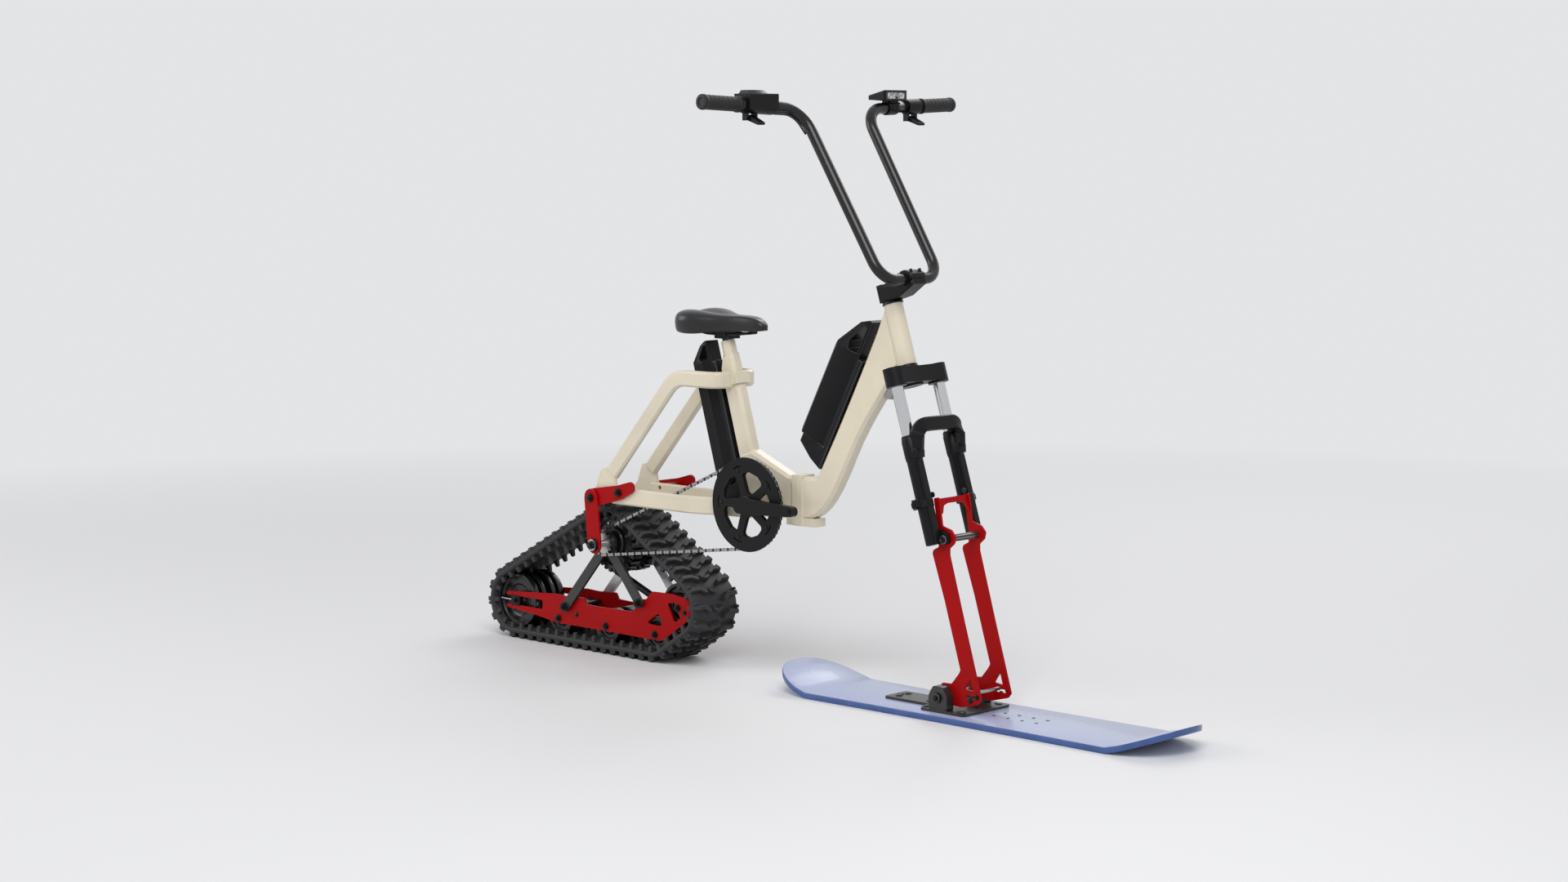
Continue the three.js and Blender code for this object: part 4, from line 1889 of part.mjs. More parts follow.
add("strut_frame_left", strutFrame(1), finish.steel);
add("centre_strut", centreStrut(), finish.black);
add("rear_idler", rearIdler(), finish.black);
add("front_idler", frontIdler(), finish.black);
[0, 1, 2].forEach((index) => add("bogie_" + (index + 1), bogie(index), finish.black));
add("belt", belt(), finish.rubber);

// The whole bike stands on its box's bottom centre.
const bounds = new THREE.Box3().setFromObject(bike);
const middle = bounds.getCenter(vec(0, 0, 0));
bike.position.set(-middle.x, -middle.y, -bounds.min.z);

// Points on the joints' axes, before the bike is centred
const leverPin = (side, start) => onBar(side, start).add(vec(0, 0, -leverPinDrop));
bike.userData.pivots = {
  steering: fromSteering(0, 0, 0),
  skiPitch: vec(skiPivotX, 0, skiPivotZ),
  crank: vec(0, 0, crankHeight),
  drive: vec(driveX, 0, driveZ),
  rearIdler: vec(rearIdlerX, 0, rearIdlerZ),
  frontIdler: vec(frontIdlerX, 0, frontIdlerZ),
  bogies: [0, 1, 2].map((index) => vec(bogieX(index), 0, bogieZ)),
  throttle: leverPin(-1, controlStart),
  leftLever: leverPin(1, clampStart),
};

export default bike;
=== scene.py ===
# Ski bike: a step-through electric bicycle frame on a snowboard and a rubber track kit.
# Metres, +X forward, +Y to the rider's left, +Z up.
import math
import bpy
import bmesh
from mathutils import Matrix, Vector


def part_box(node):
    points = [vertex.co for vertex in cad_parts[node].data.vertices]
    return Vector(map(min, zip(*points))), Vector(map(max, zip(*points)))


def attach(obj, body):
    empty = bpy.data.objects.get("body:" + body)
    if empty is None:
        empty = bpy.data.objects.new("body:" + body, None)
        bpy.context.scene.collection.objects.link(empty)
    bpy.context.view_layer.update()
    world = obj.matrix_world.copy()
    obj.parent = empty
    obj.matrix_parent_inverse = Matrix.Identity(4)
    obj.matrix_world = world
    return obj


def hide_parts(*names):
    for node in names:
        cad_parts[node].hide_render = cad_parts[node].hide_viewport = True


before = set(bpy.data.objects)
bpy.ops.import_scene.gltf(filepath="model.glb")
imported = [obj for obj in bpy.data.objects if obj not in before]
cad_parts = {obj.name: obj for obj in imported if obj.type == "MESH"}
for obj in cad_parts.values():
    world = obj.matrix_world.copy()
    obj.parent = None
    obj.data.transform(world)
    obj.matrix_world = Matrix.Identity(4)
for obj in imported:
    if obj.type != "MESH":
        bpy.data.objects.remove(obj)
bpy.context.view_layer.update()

# Camera. It stands in front of the bike and to its right, a little above the hubs, and looks slightly
# down, as the photograph does.
camera_place = Vector((4.4921, -4.745, 1.277))
camera_heading = math.radians(133.885)
camera_dip = math.radians(6.068)
camera_roll = math.radians(-0.175)
camera_lens = 64.37
sensor_width = 36.0
seen_as_far_as = 60


def placed(name, data):
    """A new object of the scene that holds the data."""
    holder = bpy.data.objects.new(name, data)
    bpy.context.scene.collection.objects.link(holder)
    return holder


looking = Vector((
    math.cos(camera_heading) * math.cos(camera_dip),
    math.sin(camera_heading) * math.cos(camera_dip),
    -math.sin(camera_dip),
))
level_right = Vector((math.sin(camera_heading), -math.cos(camera_heading), 0))
level_up = level_right.cross(looking)
camera_right = math.cos(camera_roll) * level_right + math.sin(camera_roll) * level_up
camera_up = math.cos(camera_roll) * level_up - math.sin(camera_roll) * level_right
camera_turn = Matrix((camera_right, camera_up, -looking)).transposed().to_4x4()
camera_data = bpy.data.cameras.new("camera")
camera_data.lens = camera_lens
camera_data.sensor_width = sensor_width
camera_data.clip_end = seen_as_far_as
camera = placed("camera", camera_data)
camera.matrix_world = Matrix.Translation(camera_place) @ camera_turn
bpy.context.scene.camera = camera

# Control cable. A thin black jacketed cable leaves the control box on the right end of the bar and is
# held close under the bend of the bar, where clips take it down to the upright.
crank_x = sum(corner.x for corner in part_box("crank_axle")) / 2


def at(x, y, z):
    """A place given in millimetres: x from the crank axle, y from the middle of the bike, z from the floor."""
    return Vector((crank_x + x / 1000, y / 1000, z / 1000))


def arc_points(points, radius, steps):
    """The same run of points with each inner corner turned at a radius, in the unit of the points."""
    result = [points[0]]
    for before, corner, after in zip(points, points[1:], points[2:]):
        into = (corner - before).normalized()
        out = (after - corner).normalized()
        half = into.angle(out) / 2
        cut = min(radius * math.tan(half), 0.49 * (corner - before).length, 0.49 * (after - corner).length)
        start = corner - into * cut
        end = corner + out * cut
        bend = cut / math.tan(half)
        middle = corner + (out - into).normalized() * (bend / math.cos(half))
        normal = (start - middle).cross(end - middle).normalized()
        for i in range(steps + 1):
            turn = Matrix.Rotation(2 * half * i / steps, 3, normal)
            result.append(middle + turn @ (start - middle))
    result.append(points[-1])
    return result


class Wire:
    """A value in a material's nodes, on which sums can be written."""

    def __init__(self, finish, socket):
        self.finish = finish
        self.socket = socket

    def maths(self, operation, *values):
        return self.finish.node("ShaderNodeMath", {"operation": operation}, dict(enumerate(values)))

    def __add__(self, other):
        return self.maths("ADD", self, other)

    def __sub__(self, other):
        return self.maths("SUBTRACT", self, other)

    def __mul__(self, other):
        return self.maths("MULTIPLY", self, other)

    def __radd__(self, other):
        return self.maths("ADD", other, self)

    def __rsub__(self, other):
        return self.maths("SUBTRACT", other, self)

    def __rmul__(self, other):
        return self.maths("MULTIPLY", other, self)

    def clamped(self):
        return self.finish.node("ShaderNodeClamp", {}, {"Value": self})


class Finish:
    """A material of one Principled surface whose changes over the surface are written as sums."""

    def __init__(self, name, **constants):
        self.material = bpy.data.materials.new(name)
        self.material.use_nodes = True
        self.tree = self.material.node_tree
        self.tree.nodes.clear()
        self.surface = self.tree.nodes.new("ShaderNodeBsdfPrincipled")
        self.output = self.tree.nodes.new("ShaderNodeOutputMaterial")
        self.tree.links.new(self.surface.outputs[0], self.output.inputs["Surface"])
        for socket, value in constants.items():
            self.feed(socket.replace("_", " "), value)
        self.place = self.node("ShaderNodeTexCoord", {}, {}, "Object")

    def put(self, socket, value):
        if isinstance(value, Wire):
            self.tree.links.new(value.socket, socket)
        elif socket.type == "RGBA":
            socket.default_value = (*value, 1)
        else:
            socket.default_value = value

    def node(self, kind, settings, inputs, output=0):
        """A node with its settings, and with the values or wires of its sockets; gives one of its outputs."""
        node = self.tree.nodes.new(kind)
        for name, value in settings.items():
            setattr(node, name, value)
        for name, value in inputs.items():
            self.put(node.inputs[name], value)
        return Wire(self, node.outputs[output])

    def mixed(self, factor, first, second):
        return self.node("ShaderNodeMix", {"data_type": "RGBA"}, {0: factor, 6: first, 7: second}, 2)

    def noise(self, scale, detail=2.0):
        return self.node("ShaderNodeTexNoise", {}, {"Vector": self.place, "Scale": scale, "Detail": detail})

    def feed(self, socket, value):
        self.put(self.surface.inputs[socket], value)

    def relief(self, height, strength, distance):
        self.feed("Normal", self.node(
            "ShaderNodeBump", {}, {"Height": height, "Strength": strength, "Distance": distance},
        ))


def spread(value, low, high):
    """The value stretched so that low becomes 0 and high becomes 1, and held between them."""
    return ((value - low) * (1 / (high - low))).clamped()


bar_clamp = at(460.1, 0, 971.7)
bar_low_half = 98
bar_top = (221, 106, 1354)
bar_end = (217, 416, 1367)
bar_bend = 0.062
bar_radius = 0.013


def bar_line(side, steps):
    """The middle line of one half of the bar, from the stem's clamp to the bar's end."""
    return arc_points([
        bar_clamp, bar_clamp + Vector((0, side * bar_low_half / 1000, 0)),
        at(bar_top[0], side * bar_top[1], bar_top[2]), at(bar_end[0], side * bar_end[1], bar_end[2]),
    ], bar_bend, steps)


def mesh_piece(name, vertices, faces, material):
    mesh = bpy.data.meshes.new(name)
    mesh.from_pydata([tuple(vertex) for vertex in vertices], [], faces)
    mesh.validate()
    mesh.update()
    mesh.materials.append(material)
    mesh.polygons.foreach_set("use_smooth", [True] * len(mesh.polygons))
    return placed(name, mesh)


def swept_parts(points, section, side):
    """Vertices and faces of a section carried along a route; side is the way of the section's width."""
    vertices = []
    faces = []
    around = len(section)
    count = len(points)
    ways = [(after - before).normalized() for before, after in zip(points, points[1:])]
    for i, point in enumerate(points):
        ahead = (ways[max(i - 1, 0)] + ways[min(i, count - 2)]).normalized()
        across = (side - ahead * side.dot(ahead)).normalized()
        above = ahead.cross(across)
        vertices += [point + across * u + above * v for u, v in section]
    for i in range(count - 1):
        for k in range(around):
            n = (k + 1) % around
            faces.append((i * around + k, i * around + n, (i + 1) * around + n, (i + 1) * around + k))
    faces.append(tuple(reversed(range(around))))
    faces.append(tuple(range((count - 1) * around, count * around)))
    return vertices, faces


def polygon(radius, sides, turn=0.0):
    """Corners of an even outline round its own middle."""
    angles = [math.tau * i / sides + turn for i in range(sides)]
    return [(radius * math.cos(angle), radius * math.sin(angle)) for angle in angles]


cable_radius = 0.0024
cable_drop = 0.0159  # from the bar's middle to the cable's
cable_lean = 0.25
cable_start = at(219.6, -201.8, 1358.0)
cable_free = 0.004  # from the control box to the first place under the bar
cable_foot = 1.289  # height where the last clip holds it
cable_sides = 16
cable_steps = 10


def under_bar(point, ahead):
    under = Vector((cable_lean, 0, -1))
    under = (under - ahead * under.dot(ahead)).normalized()
    return point + under * cable_drop


def cable_route():
    """Points close under the bar, from the control box round the bend and down to the last clip."""
    line = [point for point in reversed(bar_line(-1, cable_steps)) if point.y > cable_start.y + cable_free]
    line = [cable_start] + [point for point in line if point.z > cable_foot]
    last = len(line) - 1
    ways = [(line[min(i + 1, last)] - line[max(i - 1, 0)]).normalized() for i in range(len(line))]
    return [under_bar(point, way) for point, way in zip(line, ways)]


cable_jacket = Finish("cable_jacket", Base_Color=(0.016, 0.016, 0.018), Roughness=0.42)
cable_jacket.relief(cable_jacket.noise(900), 0.15, 0.0002)
route = cable_route()
cable_length = sum((b - a).length for a, b in zip(route, route[1:]))
cable = mesh_piece(
    "cable", *swept_parts(route, polygon(cable_radius, cable_sides), Vector((0, 1, 0))), cable_jacket.material,
)
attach(cable, "steering")
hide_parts("control_cable")
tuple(route[0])

# Floor and light. A plain pale floor lies under the bike and fades into a pale surround, and the bike is lit
# by that surround and by three wide soft lamps.
floor_half = 30
floor_shade = (0.8, 0.8, 0.81)
fade_from = 1.6
fade_to = 5.5
surround_shade = (0.86, 0.865, 0.88)
surround_seen = 0.9
surround_light = 0.45


def linked(tree, *links):
    for start, end in links:
        tree.links.new(start, end)


floor_mesh = bpy.data.meshes.new("floor")
floor_corners = [(x * floor_half, y * floor_half, 0) for x, y in ((-1, -1), (1, -1), (1, 1), (-1, 1))]
floor_mesh.from_pydata(floor_corners, [], [(0, 1, 2, 3)])
floor = placed("floor", floor_mesh)
floor_finish = Finish("floor_finish", Base_Color=floor_shade, Roughness=0.65)
from_middle = floor_finish.node("ShaderNodeVectorMath", {"operation": "LENGTH"}, {0: floor_finish.place}, "Value")
floor_rays = floor_finish.tree.nodes.new("ShaderNodeLightPath")
by_eye, by_gloss, by_glass = (
    Wire(floor_finish, floor_rays.outputs[ray]) for ray in ("Is Camera Ray", "Is Glossy Ray", "Is Transmission Ray")
)
floor_seen = (by_eye + by_gloss + by_glass).clamped()
far_floor = floor_finish.node("ShaderNodeEmission", {}, {"Color": surround_shade, "Strength": surround_seen})
near_floor = Wire(floor_finish, floor_finish.surface.outputs[0])
fading = floor_finish.node("ShaderNodeMixShader", {}, {
    0: spread(from_middle, fade_from, fade_to) * floor_seen, 1: near_floor, 2: far_floor,
})
floor_finish.put(floor_finish.output.inputs["Surface"], fading)
floor_mesh.materials.append(floor_finish.material)

world = bpy.data.worlds.new("surround")
bpy.context.scene.world = world
world.use_nodes = True
sky = world.node_tree
sky.nodes.clear()
sky_rays = sky.nodes.new("ShaderNodeLightPath")
seen_plainly = sky.nodes.new("ShaderNodeMath")
seen_at_all = sky.nodes.new("ShaderNodeMath")
for choice in (seen_plainly, seen_at_all):
    choice.operation = "MAXIMUM"
sky_shades = []
for strength in (surround_light, surround_seen):
    sky_shade = sky.nodes.new("ShaderNodeBackground")
    sky_shade.inputs["Color"].default_value = (*surround_shade, 1)
    sky_shade.inputs["Strength"].default_value = strength
    sky_shades.append(sky_shade)
either_shade = sky.nodes.new("ShaderNodeMixShader")
sky_output = sky.nodes.new("ShaderNodeOutputWorld")
linked(
    sky,
    (sky_rays.outputs["Is Camera Ray"], seen_plainly.inputs[0]),
    (sky_rays.outputs["Is Glossy Ray"], seen_plainly.inputs[1]),
    (seen_plainly.outputs[0], seen_at_all.inputs[0]),
    (sky_rays.outputs["Is Transmission Ray"], seen_at_all.inputs[1]),
    (seen_at_all.outputs[0], either_shade.inputs[0]),
    (sky_shades[0].outputs[0], either_shade.inputs[1]),
    (sky_shades[1].outputs[0], either_shade.inputs[2]),
    (either_shade.outputs[0], sky_output.inputs["Surface"]),
)
bpy.context.scene.view_settings.view_transform = "Standard"


def soft_lamp(name, place, target, size, power):
    data = bpy.data.lights.new(name, "AREA")
    data.shape = "RECTANGLE"
    data.size, data.size_y = size
    data.energy = power
    lamp = placed(name, data)
    lamp.matrix_world = Matrix.Translation(place) @ (place - target).to_track_quat("Z", "Y").to_matrix().to_4x4()


middle_of_bike = Vector((0, 0, 0.6))
soft_lamp("key_lamp", Vector((2.6, -2.6, 4.2)), middle_of_bike, (3.0, 3.0), 150)
soft_lamp("side_lamp", Vector((-3.6, -3.0, 2.6)), middle_of_bike, (2.6, 2.6), 60)
soft_lamp("back_lamp", Vector((-1.0, 4.2, 3.4)), middle_of_bike, (3.4, 2.4), 70)

# Frame. Welded aluminium tubes in satin cream paint: a front half with the head tube and the deep down
# tube, and a rear half with the seat tube, bolted together low at the step-through joint.
both_sides = ((-1, "right"), (1, "left"))
smooth_angle = math.radians(36)
flat_angle = math.radians(0.6)
weld_reach = 0.00002


def geometry_tree(name, *inputs):
    """A tree of geometry nodes that takes a mesh and the named inputs; gives the tree and its two ends."""
    tree = bpy.data.node_groups.new(name, "GeometryNodeTree")
    for label, kind in (("Geometry", "Geometry"), *inputs):
        tree.interface.new_socket(label, in_out="INPUT", socket_type="NodeSocket" + kind)
    tree.interface.new_socket("Geometry", in_out="OUTPUT", socket_type="NodeSocketGeometry")
    return tree, tree.nodes.new("NodeGroupInput"), tree.nodes.new("NodeGroupOutput")


def set_input(modifier, name, value):
    for item in modifier.node_group.interface.items_tree:
        if item.item_type == "SOCKET" and item.in_out == "INPUT" and item.name == name:
            modifier[item.identifier] = value


smooth_tree, smooth_in, smooth_out = geometry_tree("smooth_faces", ("Angle", "Float"))
all_smooth = smooth_tree.nodes.new("GeometryNodeSetShadeSmooth")
edge_angle = smooth_tree.nodes.new("GeometryNodeInputMeshEdgeAngle")
is_sharp = smooth_tree.nodes.new("FunctionNodeCompare")
is_sharp.data_type = "FLOAT"
is_sharp.operation = "GREATER_THAN"
sharp_again = smooth_tree.nodes.new("GeometryNodeSetShadeSmooth")
sharp_again.domain = "EDGE"
sharp_again.inputs["Shade Smooth"].default_value = False
linked(
    smooth_tree,
    (smooth_in.outputs["Geometry"], all_smooth.inputs["Geometry"]),
    (edge_angle.outputs["Unsigned Angle"], is_sharp.inputs[0]),
    (smooth_in.outputs["Angle"], is_sharp.inputs[1]),
    (all_smooth.outputs["Geometry"], sharp_again.inputs["Geometry"]),
    (is_sharp.outputs["Result"], sharp_again.inputs["Selection"]),
    (sharp_again.outputs["Geometry"], smooth_out.inputs["Geometry"]),
)


def even_shading(piece):
    """Lets flat faces keep one shade right up to their rounded edges."""
    normals = piece.modifiers.new("even_shading", "WEIGHTED_NORMAL")
    normals.keep_sharp = True
    return piece


def dressed(node, finish, worn, edge, angle=40, steps=2):
    """Rounds a CAD node's edges by its modifiers and gives it a finish, with worn paint along the edges."""
    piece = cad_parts[node]
    piece.data.materials.clear()
    piece.data.materials.append(finish.material)
    piece.data.materials.append(worn.material)
    weld = piece.modifiers.new("weld", "WELD")
    weld.merge_threshold = weld_reach
    flat = piece.modifiers.new("flat", "DECIMATE")
    flat.decimate_type = "DISSOLVE"
    flat.angle_limit = flat_angle
    bevel = piece.modifiers.new("edges", "BEVEL")
    bevel.limit_method = "ANGLE"
    bevel.angle_limit = math.radians(angle)
    bevel.width = edge
    bevel.segments = steps
    bevel.material = 1
    bevel.use_clamp_overlap = True
    smooth = piece.modifiers.new("smooth", "NODES")
    smooth.node_group = smooth_tree
    set_input(smooth, "Angle", smooth_angle)
    return even_shading(piece)


def coated(name, colour, worn_colour, wear, roughness, grain=700, relief=0.12, coat=0.0, metallic=0.0, shine=0.5):
    """A painted, plated or moulded skin: faint unevenness of tone and gloss, a fine grain, and some wear."""
    finish = Finish(name, Metallic=metallic, Coat_Weight=coat, Coat_Roughness=0.12, Specular_IOR_Level=shine)
    cloud = finish.noise(9, 3)
    fleck = finish.noise(260, 2)
    tone = spread(cloud, 0.3, 0.7)
    worn_spots = spread(fleck * 0.6 + finish.noise(60, 2) * 0.4, 0.62 - wear * 0.25, 0.68 - wear * 0.2) * wear
    shade = finish.mixed(tone, tuple(c * 0.94 for c in colour), tuple(min(1.0, c * 1.04) for c in colour))
    finish.feed("Base Color", finish.mixed(worn_spots, shade, worn_colour))
    finish.feed("Roughness", (roughness + (cloud - 0.5) * 0.12 + (fleck - 0.5) * 0.06).clamped())
    finish.relief(finish.noise(grain, 1), relief, 0.0003)
    return finish


frame_paint = coated("frame_paint", (0.74, 0.665, 0.515), (0.5, 0.45, 0.36), wear=0.04, roughness=0.34, coat=0.35)
frame_paint_edge = coated("frame_paint_edge", (0.78, 0.71, 0.56), (0.46, 0.42, 0.35), wear=0.3, roughness=0.3, coat=0.3)
for node in ("front_frame", "rear_frame", "rear_hoop", "chain_stay_right", "chain_stay_left"):
    dressed(node, frame_paint, frame_paint_edge, edge=0.0014, angle=34, steps=3)


def opened(mesh):
    """The mesh as a shape to edit."""
    shape = bmesh.new()
    shape.from_mesh(mesh)
    return shape


def put_back(shape, mesh):
    """Puts an edited shape in its mesh, smooth but for its edges."""
    for edge in shape.edges:
        edge.smooth = edge.calc_face_angle(0) < smooth_angle
    shape.to_mesh(mesh)
    shape.free()


def bevelled(shape, least_angle, width):
    """Rounds the edges of a shape that turn by more than an angle; the width is in millimetres."""
    corners = [edge for edge in shape.edges if edge.calc_face_angle(0) > least_angle]
    bmesh.ops.bevel(
        shape, geom=corners, offset=width / 1000, segments=2, profile=0.6, affect="EDGES", clamp_overlap=True,
    )


def closed_piece(name, vertices, faces, finish, edge=0.0):
    """A closed mesh with its faces turned outwards, smooth but for its edges, which are rounded where asked."""
    piece = mesh_piece(name, vertices, faces, finish.material)
    shape = opened(piece.data)
    bmesh.ops.recalc_face_normals(shape, faces=shape.faces)
    if edge:
        bevelled(shape, smooth_angle, edge)
    put_back(shape, piece.data)
    return piece


def block_faces(count):
    """Foot, top and sides of a block between two outlines of as many corners."""
    sides = [(i, (i + 1) % count, count + (i + 1) % count, count + i) for i in range(count)]
    return [tuple(reversed(range(count))), tuple(range(count, 2 * count)), *sides]


def prism(name, outline, place, low, high, finish, edge):
    """A block drawn in two ways and thick in the third, in millimetres, with its edges rounded."""
    vertices = [place(a, b, level) for level in (low, high) for a, b in outline]
    return closed_piece(name, vertices, block_faces(len(outline)), finish, edge)


def upright(x, z, y):
    """A place of a plate that stands along the bike."""
    return at(x, y, z)


def riding(piece, body, slot, *nodes):
    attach(piece, body)
    if nodes:
        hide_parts(*nodes)
    return piece


horn_outline = [
    (-514, 424), (-506, 438), (-501, 452), (-499, 465), (-495, 472), (-489.5, 473), (-484, 470), (-478, 462),
    (-466, 450.5), (-446, 442), (-440, 426),
]
horn_inner, horn_outer = 66.4, 73.6
for side, word in both_sides:
    faces = sorted((side * horn_inner, side * horn_outer))
    horn = prism("axle_plate_horn_" + word, horn_outline, upright, *faces, frame_paint, edge=1.2)
    riding(horn, "frame", "frame_paint")
stop_outline = [(388, 697), (409, 697), (413, 714), (413, 731), (400, 737), (388, 733)]
stop_half = 9
stop_rubber = coated("stop_rubber", (0.3, 0.3, 0.29), (0.4, 0.4, 0.4), wear=0.1, roughness=0.5, grain=1100, relief=0.2)
stop = prism("steering_stop", stop_outline, upright, -stop_half, stop_half, stop_rubber, edge=1.5)
riding(stop, "frame", "black_plastic")

# Headset, crown, stem and bar. Forged and machined aluminium with a satin black coating; the stem is a
# faceted wedge whose front clamp holds the bar with four screws, and the bar is one bent tube.
black_coat = coated("black_coat", (0.006, 0.006, 0.007), (0.07, 0.07, 0.075), wear=0.03, roughness=0.34, shine=0.17)
black_coat_edge = coated(
    "black_coat_edge", (0.014, 0.014, 0.016), (0.16, 0.16, 0.17), wear=0.35, roughness=0.3, shine=0.4,
)
for node in ("headset_upper", "headset_lower", "fork_crown", "stem"):
    dressed(node, black_coat, black_coat_edge, edge=0.0009)
bar_sides = 40
bar_steps = 14
bar_finish = coated(
    "bar_finish", (0.006, 0.006, 0.007), (0.06, 0.06, 0.065), wear=0.02, roughness=0.24, coat=0.12, shine=0.35,
)
bar_route = list(reversed(bar_line(-1, bar_steps)))[:-1] + bar_line(1, bar_steps)
bar_parts = swept_parts(bar_route, polygon(bar_radius, bar_sides), Vector((0, 0, 1)))
riding(mesh_piece("bar", *bar_parts, bar_finish.material), "steering", "black_metal", "handlebar")

# Fork. Two chromed upper tubes slide in black painted castings with a flat strip down the front; a forged
# arch passes in front of the tubes, and a clamp round each leg and an axle lug carry the ski arms.
steel = coated("steel", (0.46, 0.46, 0.47), (0.2, 0.19, 0.18), wear=0.12, roughness=0.28, metallic=1.0)
bolt_black = coated(
    "bolt_black", (0.012, 0.012, 0.013), (0.2, 0.2, 0.2), wear=0.25, roughness=0.3, metallic=0.4, shine=0.35,
)
rubber_trim = coated("rubber_trim", (0.01, 0.01, 0.01), (0.04, 0.04, 0.04), wear=0.1, roughness=0.6, shine=0.3)
chrome = Finish("chrome", Base_Color=(0.62, 0.62, 0.64), Metallic=1.0)
chrome_smudge = chrome.noise(30, 3)
chrome.feed("Roughness", (0.05 + chrome_smudge * 0.12).clamped())
chrome.relief(chrome.noise(1500, 1), 0.02, 0.0001)
fork_tilt = math.radians(17.4)
fork_forward = Vector((math.cos(fork_tilt), 0, math.sin(fork_tilt)))
fork_up = Vector((-math.sin(fork_tilt), 0, math.cos(fork_tilt)))
head_foot_x = 449
head_foot_z = 777.5
fork_half = 71
leg_forward = 18
leg_foot = -414
leg_shoulder = -214
wiper_foot = -168
tube_radius = 14
tube_foot = -330
tube_top = -12


def on_fork(forward, y, up):
    """A place in millimetres from the lower end of the head tube, forward of its axis and up along it."""
    return at(head_foot_x, y, head_foot_z) + (fork_forward * forward + fork_up * up) / 1000


def beside_fork(forward, up, y):
    """A place of a block that is drawn from the side of the fork."""
    return on_fork(forward, y, up)


def turned_piece(name, profile, place, finish, sides):
    """A closed piece turned about a line; place gives the point for a radius, a distance along and an angle."""
    vertices, rows, faces = [], [], []
    for radius, along in profile:
        count = 1 if radius < 0.001 else sides
        rows.append(list(range(len(vertices), len(vertices) + count)))
        vertices += [place(radius, along, math.tau * i / sides) for i in range(count)]
    for first, second in zip(rows, rows[1:]):
        for i in range(sides):
            n = (i + 1) % sides
            corners = [first[i % len(first)], first[n % len(first)], second[n % len(second)], second[i % len(second)]]
            face = tuple(dict.fromkeys(corners))
            if len(face) > 2:
                faces.append(face)
    return closed_piece(name, vertices, faces, finish)


def turned_on(name, start, way, profile, finish, sides=48, ripple=None):
    """A piece turned about any line; the profile lists radius and distance along it, in millimetres."""
    aside = way.cross(Vector((0, 1, 0)) if abs(way.y) < 0.9 else Vector((1, 0, 0))).normalized()
    above = way.cross(aside)

    def place(radius, along, angle):
        reach = radius + (ripple(along, angle) if ripple else 0)
        return start + (way * along + (aside * math.cos(angle) + above * math.sin(angle)) * reach) / 1000

    return turned_piece(name, profile, place, finish, sides)


for side, word in both_sides:
    tube = turned_on("upper_tube_" + word, on_fork(leg_forward, side * fork_half, tube_foot), fork_up, [
        (0, 0), (tube_radius - 1, 0), (tube_radius, 1), (tube_radius, tube_top - tube_foot), (0, tube_top - tube_foot),
    ], chrome)
    riding(tube, "steering", "chrome", "stanchion_" + word)


def joined(pieces, name):
    """Several mesh objects as one; all of them keep their material."""
    shape = bmesh.new()
    materials = []
    for piece in pieces:
        first = len(shape.faces)
        shape.from_mesh(piece.data)
        shape.faces.ensure_lookup_table()
        for face in shape.faces[first:]:
            material = piece.data.materials[face.material_index]
            if material not in materials:
                materials.append(material)
            face.material_index = materials.index(material)
        bpy.data.objects.remove(piece)
    mesh = bpy.data.meshes.new(name)
    shape.to_mesh(mesh)
    shape.free()
    for material in materials:
        mesh.materials.append(material)
    return placed(name, mesh)


leg_sides = 36
leg_radius = 16.5
leg_front = 9  # the round leg ends here, and its flat front begins
leg_flat = 14.5
strip_flat = 20.0
strip_half = 8.5
leg_section = []
for i in range(leg_sides):
    angle = math.tau * i / leg_sides
    across, forward = leg_radius * math.sin(angle), leg_radius * math.cos(angle)
    if forward > leg_front:
        forward = strip_flat if abs(across) < strip_half else leg_flat
    leg_section.append((across / 1000, -forward / 1000))
collar_profile = [
    (0, 0.5), (13, 0), (15.5, 2), (16.4, 8), (16.4, 190), (17.8, 196), (18.4, 202), (18.4, 238), (17.4, 241),
    (17.4, 245), (16, 247), (14.4, 247), (14.4, 90), (0, 90),
]
wiper_profile = [(14.2, 0), (16.2, 0), (16.8, 1.5), (16.2, 3), (14.8, 4.6), (14.2, 4.6), (14.2, 0)]
foot_outline = [(20, -219), (20, -196), (44, -196), (46, -203), (42, -219)]
foot_half = 12
foot_screw_profile = [(0, 2.5), (2.4, 2.5), (2.6, 0), (5.4, 0), (5.8, 0.5), (5.8, 7), (0, 7)]
clamp_profile = [(15, 0), (21, 0), (22, 1), (22, 17), (21, 18), (15, 18), (15, 0)]
clamp_tail = [(7, 12), (25, 12), (25, 22), (22, 33), (14, 36), (8, 32)]
clamp_bolt_profile = [
    (0, 0), (5, 0), (5.4, 0.6), (5.4, 4.5), (3, 4.5), (3, 18), (5.4, 18), (5.4, 22), (4.6, 23), (0, 23),
]
clamp_foot = -329
tail_foot = clamp_foot + 2.5
tail_top = clamp_foot + 15.5
lug_outline = [(11, -378), (11, -412), (50, -420), (58, -412), (57, -398), (40, -384)]
lug_inner, lug_outer = 54.3, 62.3
lower_parts = []
